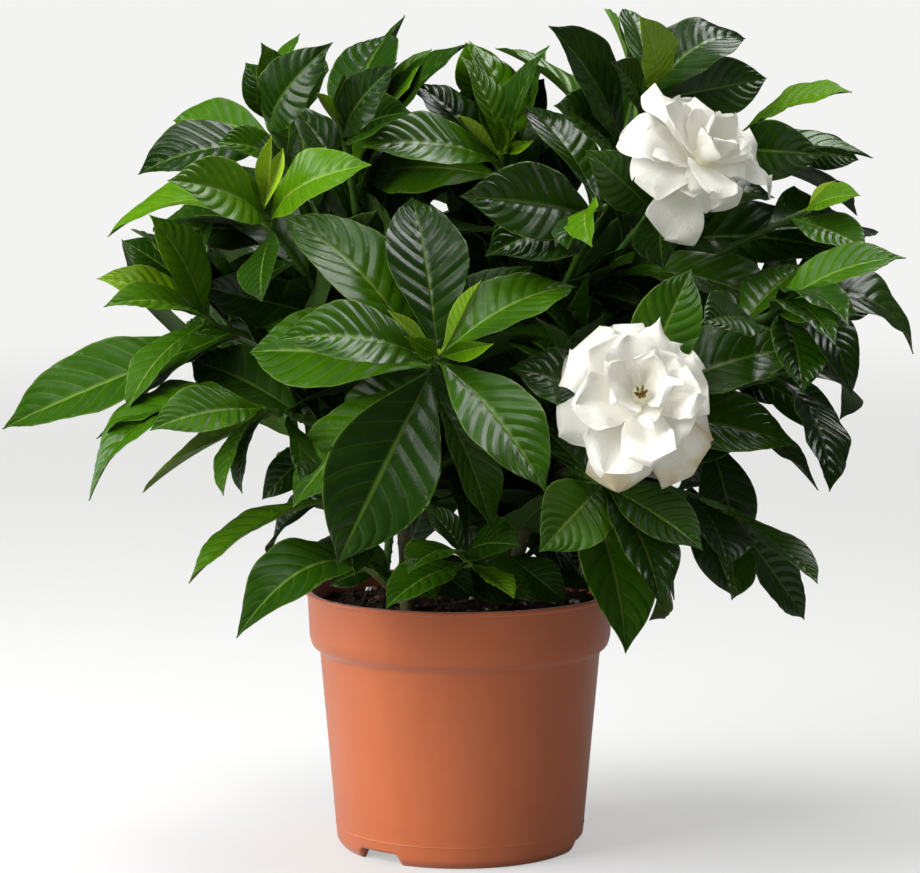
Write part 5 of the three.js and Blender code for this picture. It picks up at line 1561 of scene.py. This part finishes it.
# Old leaves that the picture does show, dark and half hidden between the large ones: the
# cutting that they belong to, the places of tip and root, their depth, width and tone.
OLD_LEAVES = [
    (0, (566, 576), (516, 468), -14, 20, 0.12), (1, (735, 598), (686, 480), -30, 19, 0.14),
    (1, (741, 554), (708, 430), -38, 22, 0.1), (1, (843, 432), (742, 372), -34, 17, 0.2),
    (1, (800, 400), (712, 362), -24, 19, 0.14), (3, (466, 42), (492, 112), 6, 20, 0.5),
    (3, (545, 78), (500, 150), 14, 20, 0.3), (2, (122, 240), (206, 300), -6, 19, 0.2),
    (2, (246, 62), (282, 128), 14, 18, 0.3), (0, (262, 500), (330, 436), -20, 15, 0.16),
    (3, (574, 200), (540, 120), 16, 22, 0.14), (3, (860, 160), (776, 150), 24, 16, 0.3),
    (0, (474, 597), (412, 556), -30, 18, 0.24), (0, (392, 600), (452, 552), -36, 17, 0.2),
    (1, (596, 590), (534, 530), -12, 21, 0.14), (1, (600, 556), (652, 492), 4, 22, 0.1),
    (0, (526, 600), (452, 562), -22, 19, 0.16), (3, (566, 602), (506, 556), -26, 17, 0.2),
]


def old_leaf(tip, root, behind, width, tone):
    """The blade between two places in the picture, at one depth, that faces the eye and up."""
    root, tip = seen_at(root, behind + 6), seen_at(tip, behind)
    normal = square_to(unit(EYE - root) + UP * 0.4, unit(tip - root))
    return {"root": root, "tip": tip, "normal": normal, "width": width, "bow": 0.1, "fold": 0.2,
            "twist": 0.15, "tone": tone, "young": False}


inner_count = 0
for cutting, (name, _, _) in enumerate(CUTTINGS):
    draw = np.random.default_rng(4000 + cutting)
    part = Collector(*LEAF_VALUES)
    blades = inner_blades(TRUNKS[cutting], 0.25, 1.0, LOW_PER_STEM, draw)
    for row in SHOOTS:
        if row["cutting"] == cutting:
            blades += inner_blades(row["whole"], 0.1, 0.92, INNER_PER_SHOOT, draw)
    for blade in blades:
        add_leaf(part, blade, INNER_ROWS, draw)
    old_ones = [old_leaf(*shape) for owner, *shape in OLD_LEAVES if owner == cutting]
    for blade in old_ones:
        add_leaf(part, blade, FILL_ROWS, draw)
    inner_count += len(blades) + len(old_ones)
    part.make(f"inner_leaves_{cutting + 1}", [leaf_skin, shoot_green])
print("inner leaves:", inner_count)

# %% [markdown]
# ## The blooms
# A double gardenia opens flat: wide outer petals whose edges roll back, a second ring that stands
# half open over them, and a tight heart. Each petal is a blade like a leaf's, but widest near its
# end and cupped smoothly. Its rim ripples and its corners roll back, which is what gives real
# petals their pointed look.

# %% The petal's surface
PETAL_ROWS = 34
CUP_RIPPLE = 0.7


def of_both(sides, right):
    """A value that is the first on the left side, the second on the right one."""
    return sides[0] * (1 - right) + sides[1] * right


def petal_surface(blade, draw):
    """Each side of the outline swells as sin(90°·t/corner)^swell up to its corner, and from there
    runs in to the tip as ((1-t)/(1-corner))^end. A late corner gives a square end and an early
    one a pointed end. Height over the spine's plane = cup·|u|^1.8 + ripples that grow towards
    the rim - each side's roll - the tip's backward curl + soft creases along the petal. A side
    that rolls back also draws in. The rows crowd towards the tip, where the outline closes."""
    s = np.linspace(0, 1, PETAL_ROWS + 1)[:-1]
    t = 1 - (1 - s) ** 1.9
    spine, across, face, length = blade_spine(blade, t)
    u, t = ROUND[None], t[:, None]
    off = np.abs(u)
    right = step_between(-0.12, 0.12, u)
    corner = of_both(blade["corner"], right)
    outline = np.sin(math.pi / 2 * np.minimum(t / corner, 1)) ** blade["swell"]
    outline = outline * np.minimum((1 - t) / (1 - corner), 1) ** blade["end"]
    half = np.maximum(blade["width"] / 2 * outline, 1.4 * (1 - t))
    phase = draw.uniform(0, 2 * math.pi, 4)
    pace = draw.uniform(1.5, 3.0)
    swing = np.sin(2 * math.pi * pace * t + np.where(u < 0, phase[0], phase[1]))
    buckle = CUP_RIPPLE * step_between(0.45, 1, t) * np.sin(4.6 * u + phase[2])
    ripple = blade["ripple"] * (step_between(0.3, 0.9, t) * off**2.2 * swing + buckle)
    crease = 0.32 * step_between(0.1, 0.5, t) * np.sin(6.5 * u + 2.5 * t + phase[3])
    side_roll = of_both(blade["roll"], right)
    reach = step_between(0.3, 0.9, t) * step_between(0.3, 1.0, off) ** 1.4
    curl = blade["curl"] * step_between(0.62, 1.0, t) ** 1.6
    rise = half * math.sin(blade["fold"]) * off**1.8 + ripple + crease - side_roll * reach - curl
    foot = 1 - step_between(0, 0.25, t)
    thin = 0.33 * (1 - u**6) * (1 - 0.4 * t) + 0.3 * foot * np.sqrt(1 - u**2)
    rise = rise + np.where(UNDERSIDE[None], -thin, thin)
    drawn_in = 1 - 0.05 * np.abs(side_roll) * reach
    sideways = half * u * drawn_in * np.cos(blade["fold"] * off)
    points = spine[:, None] + across[:, None] * sideways[..., None]
    points = points + face[:, None] * rise[..., None]
    end_height = blade["ripple"] * CUP_RIPPLE * math.sin(phase[2]) - blade["curl"]
    tip = blade["tip"] + face[-1] * end_height
    points = np.concatenate([points.reshape(-1, 3), [tip]])
    t_all = np.append(np.broadcast_to(t, rise.shape), 1.0)
    uv = np.stack([np.append(u * half / 20, 0), t_all], axis=-1)
    columns = len(ROUND)
    walls = grid_faces(PETAL_ROWS, columns, True)
    tip_fan = fan((PETAL_ROWS - 1) * columns, columns, PETAL_ROWS * columns)
    batches = [Faces(faces, 0, uv[faces]) for faces in (walls, tip_fan, np.arange(columns)[None])]
    sides = step_between(0.7, 1, off) * step_between(0.3, 0.6, t)
    rim = np.append(np.maximum(step_between(0.66, 0.95, t), sides), 1.0)
    values = {"foot": 1 - step_between(0.0, 0.3, t_all), "rim": rim * blade["browned"]}
    return points, batches, values


# %% The petals' places
def petal(clock, open_, length, width, whorl):
    """One petal: its clock angle and opening in degrees, its size in mm and its ring."""
    return {"clock": clock, "open": open_, "length": length, "width": width, "whorl": whorl}


def inner_petals(first, open_):
    """The innermost five, at even turns."""
    return [petal(first + 72 * k, open_, 18, 17, 2) for k in range(5)]


BLOOMS = {
    "bloom_front": [
        petal(246, 88, 32, 24, 0), petal(306, 84, 32, 32, 0), petal(306, 98, 34, 24, 0),
        petal(340, 80, 30, 25, 0), petal(40, 84, 28, 23, 0), petal(14, 78, 31, 24, 0),
        petal(116, 94, 30, 34, 0), petal(78, 80, 26, 27, 0), petal(144, 92, 33, 27, 0),
        petal(194, 90, 36, 27, 0), petal(204, 68, 34, 27, 1), petal(174, 64, 32, 22, 1),
        petal(144, 62, 25, 24, 1), petal(96, 58, 25, 22, 1), petal(44, 54, 20, 21, 1),
        petal(346, 58, 24, 22, 1), petal(310, 62, 26, 25, 1), petal(256, 66, 26, 25, 1),
        *inner_petals(20, 36)],
    "bloom_upper": [
        petal(292, 78, 35, 26, 0), petal(326, 72, 35, 22, 0), petal(14, 60, 29, 26, 0),
        petal(68, 76, 30, 26, 0), petal(94, 88, 40, 24, 0), petal(186, 84, 21, 30, 0),
        petal(218, 110, 32, 25, 0), petal(266, 96, 30, 27, 0), petal(286, 74, 27, 22, 1),
        petal(312, 64, 27, 20, 1), petal(4, 46, 20, 20, 1), petal(66, 54, 19, 22, 1),
        petal(106, 62, 18, 22, 1), petal(212, 70, 26, 24, 1), petal(244, 84, 22, 22, 1),
        *inner_petals(40, 22)],
}
PETAL_FORMS = [{"bow": 0.1, "fold": 0.14}, {"bow": -0.04, "fold": 0.34},
               {"bow": -0.16, "fold": 0.55}]

# How each outer petal ends, in the order of the rows: square, pointed, folded back on one side,
# plain, or a wedge that hangs from a narrow foot. Those marked with a star have a browned rim.
OUTER_ENDS = {
    "bloom_front": ("folded square square* square square pointed folded* square square* "
                    "folded*").split(),
    "bloom_upper": "plain pointed plain square folded plain wedge plain".split(),
}
# For each end: where the corners lie on the left and the right side, the outline's power from
# there to the tip, the roll of each side in mm and the curl of the tip in mm.
END_FORMS = {"square": ((0.93, 0.88), 0.75, (2.4, 3.0), 3.4),
             "pointed": ((0.6, 0.68), 1.0, (5.5, 5.0), 1.0),
             "folded": ((0.9, 0.74), 0.7, (1.6, 7.0), 2.6),
             "plain": ((0.8, 0.86), 0.62, (3.4, 2.4), 3.8),
             "wedge": ((0.91, 0.9), 0.7, (1.0, 1.4), 0.6)}
INNER_SHARE = 0.6


def petal_blade(row, index, forward, upward, right, foot):
    """A petal's blade. Every other one starts a little higher and opens less, so it lies over
    its neighbours."""
    over = index % 2
    turn, lean = math.radians(row["clock"]), math.radians(row["open"] - 8 * over)
    outward = spoke(upward, right, turn)
    along = forward * math.cos(lean) + outward * math.sin(lean)
    root = foot + forward * (2.2 + 2.6 * row["whorl"] + 1.3 * over)
    return {"root": root, "tip": root + along * row["length"],
            "normal": forward * math.sin(lean) - outward * math.cos(lean),
            "width": row["width"], "twist": 0.0, **PETAL_FORMS[row["whorl"]]}


# %% The heart of a bloom
CORE_TOP, POLLEN_SACS = 11.5, 6


def heart_parts(forward, upward, right, foot):
    """Pollen sacs that lean out round a club in the middle, each a swollen tube along an arc:
    start + forward·height + outward·lean·s²."""
    base = foot + forward * (CORE_TOP + 0.3)
    s = np.linspace(0, 1, 12)[:, None]
    bulge = np.sin(np.pi * np.clip(s[:, 0] * 0.92 + 0.06, 0, 1)) ** 0.6
    parts = [tube(base + forward * 5.0 * s, 0.2 + bulge, 14)]
    for k in range(POLLEN_SACS):
        outward = spoke(upward, right, 2 * math.pi * (k + 0.3) / POLLEN_SACS)
        path = base + outward * (1.2 + 1.1 * s**2) + forward * 4.2 * s
        parts.append(tube(path, 0.15 + 0.42 * bulge, 10))
    return parts


# %% Making the blooms
for number, (name, petals) in enumerate(BLOOMS.items()):
    row = next(one for one in SHOOTS if one["bloom"] == name)
    forward, upward, right = bloom_frame(row["facing"])
    draw = np.random.default_rng(5000 + number)
    part = Collector("foot", "rim")
    core = row["foot"] + forward * np.linspace(0.3, CORE_TOP, 10)[:, None]
    part.add(*tube(core, 4.4 - np.linspace(0, 1, 10), 20), foot=1.0)
    for index, one in enumerate(petals):
        blade = petal_blade(one, index, forward, upward, right, row["foot"])
        outer = one["whorl"] == 0
        end = OUTER_ENDS[name][index] if outer else draw.choice(["plain", "square", "folded"])
        corner, power, roll, curl = END_FORMS[end.strip("*")]
        share = 1.0 if outer else INNER_SHARE
        blade["corner"] = [side * draw.uniform(0.97, 1.02) for side in corner]
        blade["end"] = power
        blade["swell"] = 1.5 if end == "wedge" else 0.8
        blade["roll"] = [share * side * draw.uniform(0.8, 1.2) for side in roll]
        blade["curl"] = share * curl * draw.uniform(0.7, 1.4)
        blade["ripple"] = share * draw.uniform(1.3, 2.5)
        blade["browned"] = float(end.endswith("*"))
        points, batches, values = petal_surface(blade, draw)
        part.add(points, batches, **values)
    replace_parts(part.make(f"{name}_petals", [petal_skin]), name)
    heart = Collector()
    for tube_part in heart_parts(forward, upward, right, row["foot"]):
        heart.add(*tube_part)
    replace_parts(heart.make(f"{name}_heart", [eye_skin]), f"{name}_eye")
    print(name, "petals:", len(petals))

# %% [markdown]
# ## The end
# The view layer is brought up to date once more.

# %% The end
bpy.context.view_layer.update()
